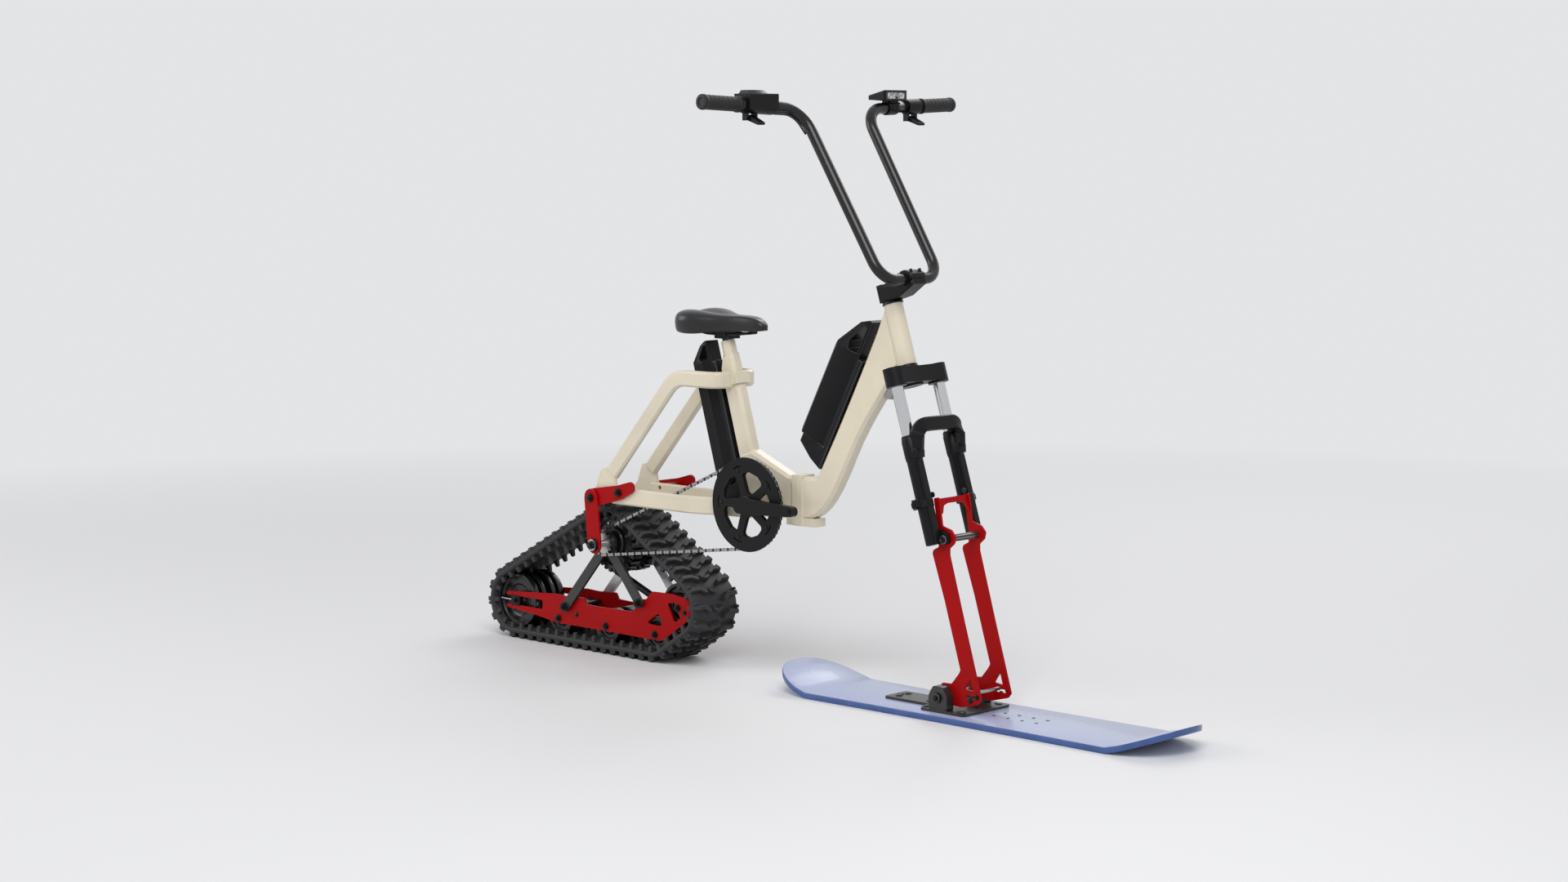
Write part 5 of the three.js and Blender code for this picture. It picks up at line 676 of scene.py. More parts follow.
for side, word in both_sides:
    y = side * fork_half
    leg_line = [on_fork(leg_forward, y, up) for up in (leg_foot + 1, leg_shoulder)]
    lug_faces = sorted((side * lug_inner, side * lug_outer))
    lower_parts += [
        closed_piece("leg_" + word, *swept_parts(leg_line, leg_section, Vector((0, 1, 0))), black_coat),
        turned_on("collar_" + word, on_fork(leg_forward, y, leg_foot), fork_up, collar_profile, black_coat),
        turned_on("wiper_" + word, on_fork(leg_forward, y, wiper_foot), fork_up, wiper_profile, rubber_trim),
        prism("foot_" + word, foot_outline, beside_fork, y - foot_half, y + foot_half, black_coat, edge=1.6),
        turned_on("foot_screw_" + word, on_fork(36, y, -226), fork_up, foot_screw_profile, bolt_black, sides=24),
        turned_on("clamp_" + word, on_fork(leg_forward, y, clamp_foot), fork_up, clamp_profile, black_coat),
        prism(
            "clamp_tail_" + word, [(forward, y + side * out) for forward, out in clamp_tail], on_fork, tail_foot,
            tail_top, black_coat, edge=1.4,
        ),
        turned_on(
            "clamp_bolt_" + word, on_fork(15, y + side * 28, -331), fork_up, clamp_bolt_profile, bolt_black, sides=24,
        ),
        prism("axle_lug_" + word, lug_outline, beside_fork, *lug_faces, black_coat, edge=1.0),
    ]
arch_foot, arch_top = (34.5, -200), (51, -147)
arch_line = arc_points([
    on_fork(forward, side * fork_half, up)
    for side, (forward, up) in ((-1, arch_foot), (-1, arch_top), (1, arch_top), (1, arch_foot))
], 0.03, 8)
arch_section = [(u / 1000, v / 1000) for u, v in (
    (-16, -5), (-13, -8.3), (13, -8.3), (16, -5), (16, 5), (13, 8.3), (-13, 8.3), (-16, 5),
)]
arch_parts = swept_parts(arch_line, arch_section, fork_forward.cross(Vector((0, 1, 0))))
lower_parts.append(closed_piece("arch", *arch_parts, black_coat))
riding(joined(lower_parts, "fork_castings"), "fork_leg", "black_metal", "fork_lowers")

# Ski kit. Two laser-cut and welded red arms stand on pivot blocks on a dark plate that is screwed to the
# board; a cross axle and a tie rod hold the arms at the fork.
red_coat = coated("red_coat", (0.37, 0.001, 0.002), (0.45, 0.07, 0.07), wear=0.03, roughness=0.4, shine=0.11)
red_coat_edge = coated("red_coat_edge", (0.45, 0.005, 0.007), (0.3, 0.18, 0.17), wear=0.3, roughness=0.34, shine=0.25)
dark_steel = coated("dark_steel", (0.055, 0.053, 0.052), (0.16, 0.155, 0.15), wear=0.12, roughness=0.36, metallic=0.6)
bridge_top = 489
bridge_lean = 0.31


def on_bridge(y, z, ahead):
    """A place of the plate that leans back with the fork between the arms' tops."""
    return at(ahead + (bridge_top - z) * bridge_lean, y, z)


rim_angle = math.radians(60)
corner_steps = 4


def plain_mesh(piece, name):
    """The piece with its modifiers made real, as a new object; the first one is thrown away."""
    bpy.context.view_layer.update()
    shape = bpy.data.meshes.new_from_object(piece.evaluated_get(bpy.context.evaluated_depsgraph_get()))
    bpy.data.objects.remove(piece)
    return placed(name, shape)


def rounded(corners, radius):
    """The closed outline with its corners turned at a radius."""
    points = [Vector((a, b, 0)) for a, b in corners]
    start = (points[-1] + points[0]) / 2
    return [(point.x, point.y) for point in arc_points([start, *points, start], radius, corner_steps)[:-1]]


def plate(name, outline, holes, place, low, high, finish, edge):
    """A plate with holes cut through it, drawn in two ways and thick in the third, in millimetres."""
    drawing = bpy.data.curves.new(name, "CURVE")
    drawing.dimensions = "2D"
    drawing.fill_mode = "BOTH"
    drawing.extrude = (high - low) / 2
    for loop in (outline, *holes):
        line = drawing.splines.new("POLY")
        line.points.add(len(loop) - 1)
        line.use_cyclic_u = True
        for point, (a, b) in zip(line.points, loop):
            point.co = (a, b, 0, 1)
    piece = plain_mesh(placed(name, drawing), name)
    shape = opened(piece.data)
    bmesh.ops.remove_doubles(shape, verts=shape.verts, dist=0.01)
    for vertex in shape.verts:
        vertex.co = place(vertex.co.x, vertex.co.y, vertex.co.z + (low + high) / 2)
    bmesh.ops.recalc_face_normals(shape, faces=shape.faces)
    bevelled(shape, rim_angle, edge)
    for face in shape.faces:
        face.smooth = True
    put_back(shape, piece.data)
    piece.data.materials.clear()
    piece.data.materials.append(finish.material)
    return even_shading(piece)


bridge_outline = [
    (-48.8, 488.5), (48.8, 488.5), (48.8, 456), (43, 456), (34, 473), (20, 477), (-20, 477), (-34, 473),
    (-43, 456), (-48.8, 456),
]
bridge = plate("arm_bridge_plate", rounded(bridge_outline, 4), [], on_bridge, 579, 584, red_coat, edge=0.5)
riding(bridge, "fork_leg", "red_paint", "ski_arm_bridge")
arm_outline = [
    (575.5, 490), (584, 444), (591.5, 400), (590.5, 382), (575, 374), (572.5, 366), (608.5, 263), (655, 112),
    (650, 103), (629, 78), (601, 77), (589, 47), (597, 31), (661, 29), (706, 41), (715, 52), (667, 210),
    (621, 366), (621, 381), (635, 393), (638.5, 409), (626, 423), (600, 430), (593, 474), (589, 493),
]
arm_holes = [[(684, 97), (667, 72), (692, 69)], [(672, 51), (703, 51), (703, 59), (672, 59)]]
arm_inner, arm_outer = 49, 54
for side, word in both_sides:
    faces = sorted((side * arm_inner, side * arm_outer))
    arm = plate(
        "ski_arm_plate_" + word, rounded(arm_outline, 5), [rounded(hole, 1.5) for hole in arm_holes], upright, *faces,
        red_coat, edge=0.5,
    )
    riding(arm, "fork_leg", "red_paint", "ski_arm_" + word)
dressed("base_plate", dark_steel, black_coat_edge, edge=0.0007)
dressed("cross_axle", dark_steel, steel, edge=0.0006)
dressed("ski_pivot_bolt", dark_steel, steel, edge=0.0006)
dressed("tie_rod", steel, steel, edge=0.0005)


def unit_prism(outline, low, high, taper=1.0):
    """A small block drawn in X and Y in millimetres and standing from low to high; its top is drawn in."""
    middle_x = sum(x for x, y in outline) / len(outline)
    middle_y = sum(y for x, y in outline) / len(outline)
    drawn_in = [(middle_x + (x - middle_x) * taper, middle_y + (y - middle_y) * taper) for x, y in outline]
    corners = [(x, y, low) for x, y in outline] + [(x, y, high) for x, y in drawn_in]
    return [Vector(corner) / 1000 for corner in corners], block_faces(len(outline))


def unit_piece(blocks, softness):
    """Several blocks as one object to repeat, with its edges taken off where asked."""
    vertices, faces = [], []
    for corners, walls in blocks:
        start = len(vertices)
        vertices += corners
        faces += [tuple(start + k for k in wall) for wall in walls]
    mesh = bpy.data.meshes.new("unit")
    mesh.from_pydata([tuple(vertex) for vertex in vertices], [], faces)
    shape = opened(mesh)
    bmesh.ops.recalc_face_normals(shape, faces=shape.faces)
    if softness:
        bmesh.ops.bevel(shape, geom=shape.edges[:], offset=softness / 1000, segments=1, affect="EDGES")
    shape.to_mesh(mesh)
    shape.free()
    return placed("unit", mesh)


repeat_tree, repeat_in, repeat_out = geometry_tree(
    "one_piece_at_each_point", ("Piece", "Object"), ("Length", "Float"), ("Width", "Float"), ("Height", "Float"),
    ("Finish", "Material"),
)
piece_info = repeat_tree.nodes.new("GeometryNodeObjectInfo")
piece_turn = repeat_tree.nodes.new("GeometryNodeInputNamedAttribute")
piece_turn.data_type = "FLOAT_VECTOR"
piece_turn.inputs["Name"].default_value = "turn"
piece_size = repeat_tree.nodes.new("ShaderNodeCombineXYZ")
put_pieces = repeat_tree.nodes.new("GeometryNodeInstanceOnPoints")
make_real = repeat_tree.nodes.new("GeometryNodeRealizeInstances")
give_finish = repeat_tree.nodes.new("GeometryNodeSetMaterial")
linked(
    repeat_tree,
    (repeat_in.outputs["Geometry"], put_pieces.inputs["Points"]),
    (repeat_in.outputs["Piece"], piece_info.inputs["Object"]),
    (piece_info.outputs["Geometry"], put_pieces.inputs["Instance"]),
    (piece_turn.outputs["Attribute"], put_pieces.inputs["Rotation"]),
    (repeat_in.outputs["Length"], piece_size.inputs["X"]),
    (repeat_in.outputs["Width"], piece_size.inputs["Y"]),
    (repeat_in.outputs["Height"], piece_size.inputs["Z"]),
    (piece_size.outputs[0], put_pieces.inputs["Scale"]),
    (put_pieces.outputs["Instances"], make_real.inputs["Geometry"]),
    (make_real.outputs["Geometry"], give_finish.inputs["Geometry"]),
    (repeat_in.outputs["Finish"], give_finish.inputs["Material"]),
    (give_finish.outputs["Geometry"], repeat_out.inputs["Geometry"]),
)


def repeated(name, blocks, spots, finish, softness=0.0, size=1.0):
    """One plain mesh with the blocks at each spot, which is a place in metres and a turn in radians."""
    unit = unit_piece(blocks, softness)
    mesh = bpy.data.meshes.new(name)
    mesh.from_pydata([tuple(place) for place, turn in spots], [], [])
    turns = mesh.attributes.new("turn", "FLOAT_VECTOR", "POINT")
    for i, (place, turn) in enumerate(spots):
        turns.data[i].vector = turn
    holder = placed(name, mesh)
    nodes = holder.modifiers.new("repeat", "NODES")
    nodes.node_group = repeat_tree
    sizes = [(label, size) for label in ("Length", "Width", "Height")]
    for label, value in (("Piece", unit), *sizes, ("Finish", finish.material)):
        set_input(nodes, label, value)
    result = plain_mesh(holder, name)
    bpy.data.objects.remove(unit)
    turns_left = result.data.attributes.get("turn")
    if turns_left:
        result.data.attributes.remove(turns_left)
    return result


hex_head = [unit_prism(polygon(6.6, 6), 0, 5.4, 0.92), unit_prism(polygon(9, 14), -1.2, 0.9, 0.96)]
nut_with_tip = [
    unit_prism(polygon(7.6, 6, 0.3), 0, 5.6, 0.94), unit_prism(polygon(10.5, 16), -1.2, 0.9, 0.96),
    unit_prism(polygon(4, 10), 5, 9, 0.9),
]
flat_screw = [unit_prism(polygon(7, 14), 0, 2.6, 0.85), unit_prism(polygon(9.5, 16), -0.6, 0.8, 0.97)]
facing_up = (0.0, 0.0, 0.0)


def outward(side):
    """The turn of a screw whose head looks to the right (-1) or to the left (1) of the bike."""
    return (-side * math.pi / 2, 0.0, 0.0)


def bolts_at(name, blocks, places, size=1.0):
    """Black screws or nuts across the bike: each place lists x, z, the y of its face, and its side."""
    spots = [(at(x, y, z), outward(side)) for x, z, y, side in places]
    return repeated(name, blocks, spots, bolt_black, size=size)


def both_faces(face, *places):
    """The same places of bolts on the right face and on the left one, which are as far out."""
    return [(x, z, side * face, side) for side in (-1, 1) for x, z in places]


axle_end = on_fork(45, 0, -408)
axle_x = (axle_end.x - crank_x) * 1000
axle_z = axle_end.z * 1000
axle_face = 66
arm_bolts = [(axle_x - 42, axle_z + 96), (axle_x + 88, axle_z - 345)]
arm_bolt_face = arm_outer + 0.2
tie_rod = (684, 47)
ski_pivot = (609, 47)
pivot_face = 78.5
ski_bolts = joined([
    bolts_at("axle_nuts", nut_with_tip, both_faces(axle_face, (axle_x, axle_z)), size=1.1),
    bolts_at("arm_bolts", hex_head, both_faces(arm_bolt_face, *arm_bolts), size=0.75),
    bolts_at("tie_nuts", hex_head, both_faces(arm_bolt_face, tie_rod), size=0.8),
], "ski_arm_bolts")
riding(ski_bolts, "fork_leg", "steel")
riding(bolts_at("pivot_nuts", nut_with_tip, both_faces(pivot_face, ski_pivot), size=1.25), "fork_leg", "steel")
plate_top = 20.4
plate_screw_places = [
    (566, -66), (566, 66), (664, -66), (664, 66), (660, 0), (600, 0), (533, 16), (533, -16), (440, 16), (440, -16),
]
plate_screws = repeated(
    "plate_screws", flat_screw, [(at(x, y, plate_top), facing_up) for x, y in plate_screw_places], bolt_black,
)
riding(plate_screws, "ski", "steel")

# Snowboard. A laminated wood-core board: glossy pale lavender topsheet, blue sidewall over a steel edge,
# and threaded inserts in the topsheet.
topsheet = Finish("topsheet", Coat_Weight=0.25, Coat_Roughness=0.08, Specular_IOR_Level=0.3)
board_cloud = topsheet.noise(2.2, 2)
topsheet.feed("Base Color", topsheet.mixed(spread(board_cloud, 0.3, 0.7), (0.37, 0.42, 0.62), (0.43, 0.48, 0.68)))
topsheet.feed("Roughness", (0.22 + topsheet.noise(14, 3) * 0.1).clamped())
topsheet.relief(topsheet.noise(420, 1), 0.03, 0.0002)
sidewall = Finish("sidewall", Roughness=0.28, Coat_Weight=0.3)
side_cloud = sidewall.noise(20, 2)
sidewall.feed("Base Color", sidewall.mixed(spread(side_cloud, 0.3, 0.7), (0.03, 0.075, 0.26), (0.04, 0.1, 0.31)))
board = dressed("snowboard", topsheet, sidewall, edge=0.0022, angle=50, steps=2)
board.modifiers.remove(board.modifiers["even_shading"])
side_tree, side_in, side_out = geometry_tree(
    "sidewall_on_upright_faces", ("Slope", "Float"), ("Finish", "Material"),
)
side_way = side_tree.nodes.new("GeometryNodeInputNormal")
side_parts = side_tree.nodes.new("ShaderNodeSeparateXYZ")
side_rise = side_tree.nodes.new("ShaderNodeMath")
side_rise.operation = "ABSOLUTE"
side_steep = side_tree.nodes.new("FunctionNodeCompare")
side_steep.data_type = "FLOAT"
side_steep.operation = "LESS_THAN"
side_finish = side_tree.nodes.new("GeometryNodeSetMaterial")
linked(
    side_tree,
    (side_in.outputs["Geometry"], side_finish.inputs["Geometry"]),
    (side_way.outputs["Normal"], side_parts.inputs[0]),
    (side_parts.outputs["Z"], side_rise.inputs[0]),
    (side_rise.outputs[0], side_steep.inputs[0]),
    (side_in.outputs["Slope"], side_steep.inputs[1]),
    (side_steep.outputs["Result"], side_finish.inputs["Selection"]),
    (side_in.outputs["Finish"], side_finish.inputs["Material"]),
    (side_finish.outputs["Geometry"], side_out.inputs["Geometry"]),
)
side_faces = board.modifiers.new("sidewall", "NODES")
side_faces.node_group = side_tree
set_input(side_faces, "Slope", 0.86)
set_input(side_faces, "Finish", sidewall.material)
insert_dark = coated("insert_dark", (0.03, 0.03, 0.035), (0.3, 0.3, 0.3), wear=0.3, roughness=0.35, metallic=0.8)
insert_cup = [unit_prism(polygon(4.4, 14), -0.5, 0.5, 0.9), unit_prism(polygon(2.4, 10), -0.4, 0.8, 0.8)]
board_top = 14.1
insert_spots = [(at(x, y, board_top), facing_up) for x in (724, 764, 804, 844) for y in (-20, 20)]
riding(repeated("board_inserts", insert_cup, insert_spots, insert_dark), "ski", "steel")

# Controls. Two rubber grips with slanting grooves, a moulded control box with a thumb lever on the right,
# and a clamp with its lever and a display on the left, each clamped round the straight end of the bar.
moulded = coated(
    "moulded", (0.006, 0.006, 0.007), (0.03, 0.03, 0.032), wear=0.03, roughness=0.38, grain=1400, relief=0.2,
    shine=0.16,
)
moulded_edge = coated(
    "moulded_edge", (0.02, 0.02, 0.022), (0.06, 0.06, 0.065), wear=0.2, roughness=0.33, grain=1400, relief=0.15,
    shine=0.4,
)
grip_rubber = coated(
    "grip_rubber", (0.014, 0.014, 0.015), (0.05, 0.05, 0.05), wear=0.1, roughness=0.5, grain=1800, relief=0.35,
    shine=0.3,
)
grip_sides = 56
grip_radius = 16.6
grooves_from = 8
grooves_run = 94
groove_rings = 120
groove_pitch = 13.5
groove_slant = 7.0
groove_depth = 1.1
groove_width = 0.075  # as a share of the pitch


def grip_groove(along, angle):
    if not grooves_from < along < grooves_from + grooves_run:
        return 0
    phase = (along + groove_slant * math.cos(angle)) / groove_pitch % 1
    return -groove_depth * math.exp(-((phase - 0.5) / groove_width) ** 2)


grip_profile = [
    (0, -2.2), (9, -2.2), (9.6, -4), (14, -4.3), (16.8, -3), (17.6, 0), (17.6, 4), (16.8, 6),
    *((grip_radius, grooves_from + grooves_run * i / groove_rings) for i in range(groove_rings + 1)),
    (17.6, 103.5), (18.4, 105), (18.4, 110), (17.4, 111.4), (13.4, 111.4), (13.4, 6), (0, 6),
]
for side, word in both_sides:
    tip = at(bar_end[0], side * bar_end[1], bar_end[2])
    inwards = (at(bar_top[0], side * bar_top[1], bar_top[2]) - tip).normalized()
    grip = turned_on("grip_sleeve_" + word, tip, inwards, grip_profile, grip_rubber, grip_sides, grip_groove)
    riding(grip, "steering", "black_plastic", "grip_" + word)
for node in ("control_box", "throttle_lever", "left_lever", "display"):
    dressed(node, moulded, moulded_edge, edge=0.0011)
dressed("left_clamp", black_coat, black_coat_edge, edge=0.0009)
lid_foot = [(196, -288), (230, -288), (242, -272), (242, -224), (226, -206), (196, -206)]
lid_crown = [(198, -276), (222, -276), (228, -266), (228, -238), (220, -226), (198, -226)]
lid_low, lid_high = 1380, 1394.5
lid_corners = [at(x, y, lid_low) for x, y in lid_foot] + [at(x, y, lid_high) for x, y in lid_crown]
lid = closed_piece("control_box_lid", lid_corners, block_faces(len(lid_foot)), moulded_edge)
riding(lid, "steering", "black_plastic")

# Display's window. A pale printed window of clear plastic, glued into a raised moulded bezel on the side of
# the display that faces forward.
window_glass = Finish("window_glass", Coat_Weight=0.5, Coat_Roughness=0.05, Roughness=0.2)
window_print = spread(window_glass.noise(160, 2), 0.48, 0.52) * 0.75
window_glass.feed("Base Color", window_glass.mixed(window_print, (0.55, 0.56, 0.58), (0.1, 0.1, 0.11)))


def facing_ahead(y, z, x):
    """A place of a plate that stands across the bike."""
    return at(x, y, z)


bezel_outline = [(161, 1376), (233, 1376), (233, 1396.5), (161, 1396.5)]
bezel_opening = [(167, 1379), (227, 1379), (227, 1393.5), (167, 1393.5)]
window_outline = [(166.5, 1378.5), (227.5, 1378.5), (227.5, 1394), (166.5, 1394)]
bezel_back, bezel_front = 237.9, 240.4
window_back, window_front = 237.8, 239.4
bezel = plate(
    "display_bezel", rounded(bezel_outline, 4), [rounded(bezel_opening, 3)], facing_ahead, bezel_back, bezel_front,
    moulded_edge, edge=0.5,
)
window = plate(
    "display_window", rounded(window_outline, 3), [], facing_ahead, window_back, window_front, window_glass, edge=0.3,
)
riding(bezel, "steering", "black_plastic")
riding(window, "steering", "black_plastic")

# Saddle. A foam pad on a plastic base under one stretched glossy black cover: a wide tail in two lobes with
# a channel between them, sides drawn in under the edge and a nose that droops.
saddle_rear = -246
saddle_length = 250
saddle_half = 77
saddle_base = 832
saddle_rise = 38
# Each station lists its share of the length, and then its half width, the height of its crown, the depth of
# its channel, the lift of its underside and the droop of its skirt, as shares of the saddle's own.
saddle_stations = [
    (0.0, 0.56, 0.84, 0.02, 0.1, 0.06), (0.02, 0.8, 1.12, 0.08, 0.03, 0.14), (0.06, 0.95, 1.22, 0.18, 0.0, 0.2),
    (0.13, 1.04, 1.28, 0.28, 0.0, 0.28), (0.22, 1.05, 1.27, 0.3, 0.0, 0.32), (0.31, 0.97, 1.19, 0.26, 0.0, 0.3),
    (0.4, 0.8, 1.08, 0.2, 0.0, 0.22), (0.5, 0.58, 1.0, 0.11, 0.0, 0.12), (0.6, 0.42, 0.97, 0.04, 0.0, 0.06),
    (0.72, 0.34, 0.98, 0.0, 0.0, 0.02), (0.84, 0.29, 0.93, 0.0, 0.0, 0.0), (0.93, 0.24, 0.78, 0.0, 0.02, 0.0),
    (0.98, 0.17, 0.56, 0.0, 0.06, 0.0), (1.0, 0.08, 0.38, 0.0, 0.12, 0.0),
]
# Each corner lists how far across and how far up it lies, and how far it hangs with the skirt.
saddle_section = [
    (0.0, 0.0, 0), (0.5, 0.0, 0), (0.78, 0.0, 0), (0.87, 0.0, 0.8), (0.95, 0.06, 1), (1.0, 0.26, 0.8),
    (1.02, 0.5, 0.3), (0.98, 0.72, 0), (0.86, 0.9, 0), (0.62, 1.0, 0), (0.32, 0.99, 0),
]
saddle_cover = Finish("saddle_cover", Coat_Weight=0.3, Coat_Roughness=0.18, Specular_IOR_Level=0.3)
cover_tone = spread(saddle_cover.noise(12, 3), 0.3, 0.7)
saddle_cover.feed("Base Color", saddle_cover.mixed(cover_tone, (0.008, 0.008, 0.009), (0.015, 0.015, 0.016)))
saddle_cover.feed("Roughness", (0.3 + saddle_cover.noise(14, 2) * 0.06).clamped())
cover_grain = saddle_cover.node("ShaderNodeTexVoronoi", {}, {"Vector": saddle_cover.place, "Scale": 850.0})
saddle_cover.relief(cover_grain, 0.08, 0.0002)


def saddle_ring(along, wide, crown, channel, lift, skirt):
    """One station of the saddle as a ring of points, from the middle of its underside and round."""
    def place(across, up, hang, side):
        low, high = saddle_rise * (lift - skirt * hang), saddle_rise * crown
        reach = side * saddle_half * wide * across
        return at(saddle_rear + along * saddle_length, reach, saddle_base + low + (high - low) * up)

    right = [place(*corner, 1) for corner in saddle_section]
    left = [place(*corner, -1) for corner in reversed(saddle_section[1:])]
    return right + [place(0, 1 - channel, 0, 0)] + left


saddle_rings = [saddle_ring(*station) for station in saddle_stations]
around = len(saddle_rings[0])
saddle_vertices = [point for ring in saddle_rings for point in ring]
saddle_faces = [
    (i * around + k, (i + 1) * around + k, (i + 1) * around + (k + 1) % around, i * around + (k + 1) % around)
    for i in range(len(saddle_rings) - 1) for k in range(around)
]
for ring_index in (0, len(saddle_rings) - 1):
    hub = len(saddle_vertices)
    saddle_vertices.append(sum(saddle_rings[ring_index], Vector()) / around)
    saddle_faces += [(hub, ring_index * around + k, ring_index * around + (k + 1) % around) for k in range(around)]
saddle = closed_piece("saddle_pad", saddle_vertices, saddle_faces, saddle_cover)
for edge in saddle.data.edges:
    edge.use_edge_sharp = False
rounding = saddle.modifiers.new("rounding", "SUBSURF")
rounding.levels = 3
rounding.render_levels = 3
saddle = plain_mesh(saddle, "saddle_pad")
riding(saddle, "seat", "saddle_cover", "saddle")
dressed("saddle_rails", black_coat, black_coat_edge, edge=0.0004)
dressed("seatpost", black_coat, black_coat_edge, edge=0.0008)

# Batteries. Two moulded black cases with chamfered heads and a finger hole for a handle, each on a rail that
# is screwed to its tube; their sides are left bare.
for node in ("front_battery", "rear_battery", "front_battery_mount", "rear_battery_mount"):
    dressed(node, moulded, moulded_edge, edge=0.0022, angle=26, steps=3)

# Chain drive. A forged crank on a steel axle, a large steel chainring behind a black pressed guard, and a
# roller chain to the small sprocket: bright outer plates, darker inner plates and rollers on pins.
for node in ("crank_arm_right", "crank_arm_left"):
    dressed(node, black_coat, black_coat_edge, edge=0.0009)
for node in ("crank_axle", "drive_sprocket"):
    dressed(node, steel, steel, edge=0.0004)
crank_height = 426
drive_axle = (-512, 283)
chain_y = -55
chain_links = 118
half_pitch = 6.33
link_half = 4.2
ring_radius = 105.17  # of the chain's middle line round the chainring
sprocket_radius = 28.54  # of the same line round the sprocket
ring_arms = 5
ring_teeth = 52
chain_bright = coated("chain_bright", (0.36, 0.36, 0.37), (0.16, 0.15, 0.14), wear=0.1, roughness=0.28, metallic=1.0)
chain_dark = coated("chain_dark", (0.035, 0.035, 0.035), (0.02, 0.02, 0.02), wear=0.15, roughness=0.4, metallic=0.8)


class Loop:
    """A loop pulled tight round circles (x, z, radius), in millimetres, listed anticlockwise."""

    def __init__(self, circles):
        count = len(circles)
        turns = []
        for i, (x, z, radius) in enumerate(circles):
            next_x, next_z, next_radius = circles[(i + 1) % count]
            reach = math.hypot(next_x - x, next_z - z)
            turns.append(math.atan2(next_z - z, next_x - x) - math.acos((radius - next_radius) / reach))
        self.parts = []
        for i, (x, z, radius) in enumerate(circles):
            sweep = (turns[i] - turns[i - 1]) % math.tau
            self.parts.append((radius * sweep, "turn", (x, z, radius, turns[i - 1])))
            next_x, next_z, next_radius = circles[(i + 1) % count]
            c, s = math.cos(turns[i]), math.sin(turns[i])
            start = (x + radius * c, z + radius * s)
            end = (next_x + next_radius * c, next_z + next_radius * s)
            self.parts.append((math.dist(start, end), "run", (start, end, turns[i])))
        self.length = sum(part[0] for part in self.parts)

    def place(self, share, out=0.0):
        """x and z of a place at a share of the loop and moved out from it, and the way out as an angle."""
        left = share % 1 * self.length
        for length, kind, facts in self.parts:
            if left <= length:
                break
            left -= length
        if kind == "turn":
            x, z, radius, start = facts
            angle = start + left / radius
            return x + (radius + out) * math.cos(angle), z + (radius + out) * math.sin(angle), angle
        (x0, z0), (x1, z1), angle = facts
        done = left / length
        return x0 + (x1 - x0) * done + out * math.cos(angle), z0 + (z1 - z0) * done + out * math.sin(angle), angle

    def spots(self, y, shares):
        """Places and turns of pieces that stand out from the loop."""
        found = [self.place(share) for share in shares]
        return [(at(x, y, z), (0.0, math.pi / 2 - angle, 0.0)) for x, z, angle in found]


chain_loop = Loop([(0, crank_height, ring_radius), (*drive_axle, sprocket_radius)])


def tipped(block):
    """A block drawn along the bike and thick across it."""
    vertices, faces = block
    return [Vector((x, -z, y)) for x, y, z in vertices], faces


def link_plates(inner, outer):
    """The two plates of a link, waisted between its pins, as far to either side of the chain's middle."""
    tip = half_pitch + link_half * 0.75
    shoulder = link_half * 0.6
    waist = link_half * 0.68
    lower = [(-tip, -shoulder), (-half_pitch, -link_half), (-3, -waist)]
    lower += [(-x, z) for x, z in reversed(lower)]
    outline = lower + [(x, -z) for x, z in reversed(lower)]
    return [tipped(unit_prism(outline, low, high)) for low, high in ((inner, outer), (-outer, -inner))]


def along_chain(first, step):
    """Spots on the chain, counted in half links."""
    return chain_loop.spots(chain_y, [i / (chain_links * 2) for i in range(first, chain_links * 2, step)])


roller = [tipped(unit_prism(polygon(3.8, 8), -1.2, 1.2))]
chain_pin = [tipped(unit_prism(polygon(1.8, 8), -3.9, 3.9))]
chain = joined([
    repeated("outer_plates", link_plates(2.4, 3.4), along_chain(1, 4), chain_bright),
    repeated("inner_plates", link_plates(1.3, 2.3), along_chain(3, 4), chain_dark),
    repeated("rollers", roller, along_chain(0, 2), chain_dark),
    repeated("pins", chain_pin, along_chain(0, 2), chain_bright),
], "roller_chain")
riding(chain, "frame", "steel", "chain")


def on_ring(radius, degrees):
    turn = math.radians(degrees)
    return radius * math.cos(turn), crank_height + radius * math.sin(turn)


window_corners = ((75, -29), (79, -11), (79, 11), (75, 29), (31, 17), (27, 0), (31, -17))
slit_corners = ((93, -9), (94.5, 0), (93, 9), (90, 9), (91.5, 0), (90, -9))
guard_face = -66
guard_radius = 112.6
guard_sides = 72
ring_windows = []
guard_slits = []
guard_places = []
for i in range(ring_arms):
    middle = 360 * i / ring_arms
    arm = middle + 180 / ring_arms
    ring_windows.append(rounded([on_ring(radius, middle + turn) for radius, turn in window_corners], 9))
    guard_slits.append(rounded([on_ring(radius, arm + turn) for radius, turn in slit_corners], 1.2))
    screw_x, screw_z = on_ring(83, arm)
    guard_places.append((at(screw_x, guard_face, screw_z), outward(-1)))
guard_rim = [on_ring(guard_radius, 360 * i / guard_sides) for i in range(guard_sides)]
guard = plate(
    "guard_plate", guard_rim, ring_windows + guard_slits, upright, guard_face, guard_face + 3, black_coat, edge=0.7,
)
riding(guard, "crank", "black_metal", "chain_guard")
ring_link = 40  # one that lies on the chainring, so that its teeth stand between the rollers
link_x, link_z = chain_loop.place(ring_link / chain_links)[:2]
first_tooth = math.degrees(math.atan2(link_z - crank_height, link_x)) + 180 / ring_teeth
tooth_rim = [
    on_ring(radius, first_tooth + 360 * (i + share) / ring_teeth)
    for i in range(ring_teeth) for share, radius in ((-0.34, 101.4), (-0.14, 108.4), (0.14, 108.4), (0.34, 101.4))
]
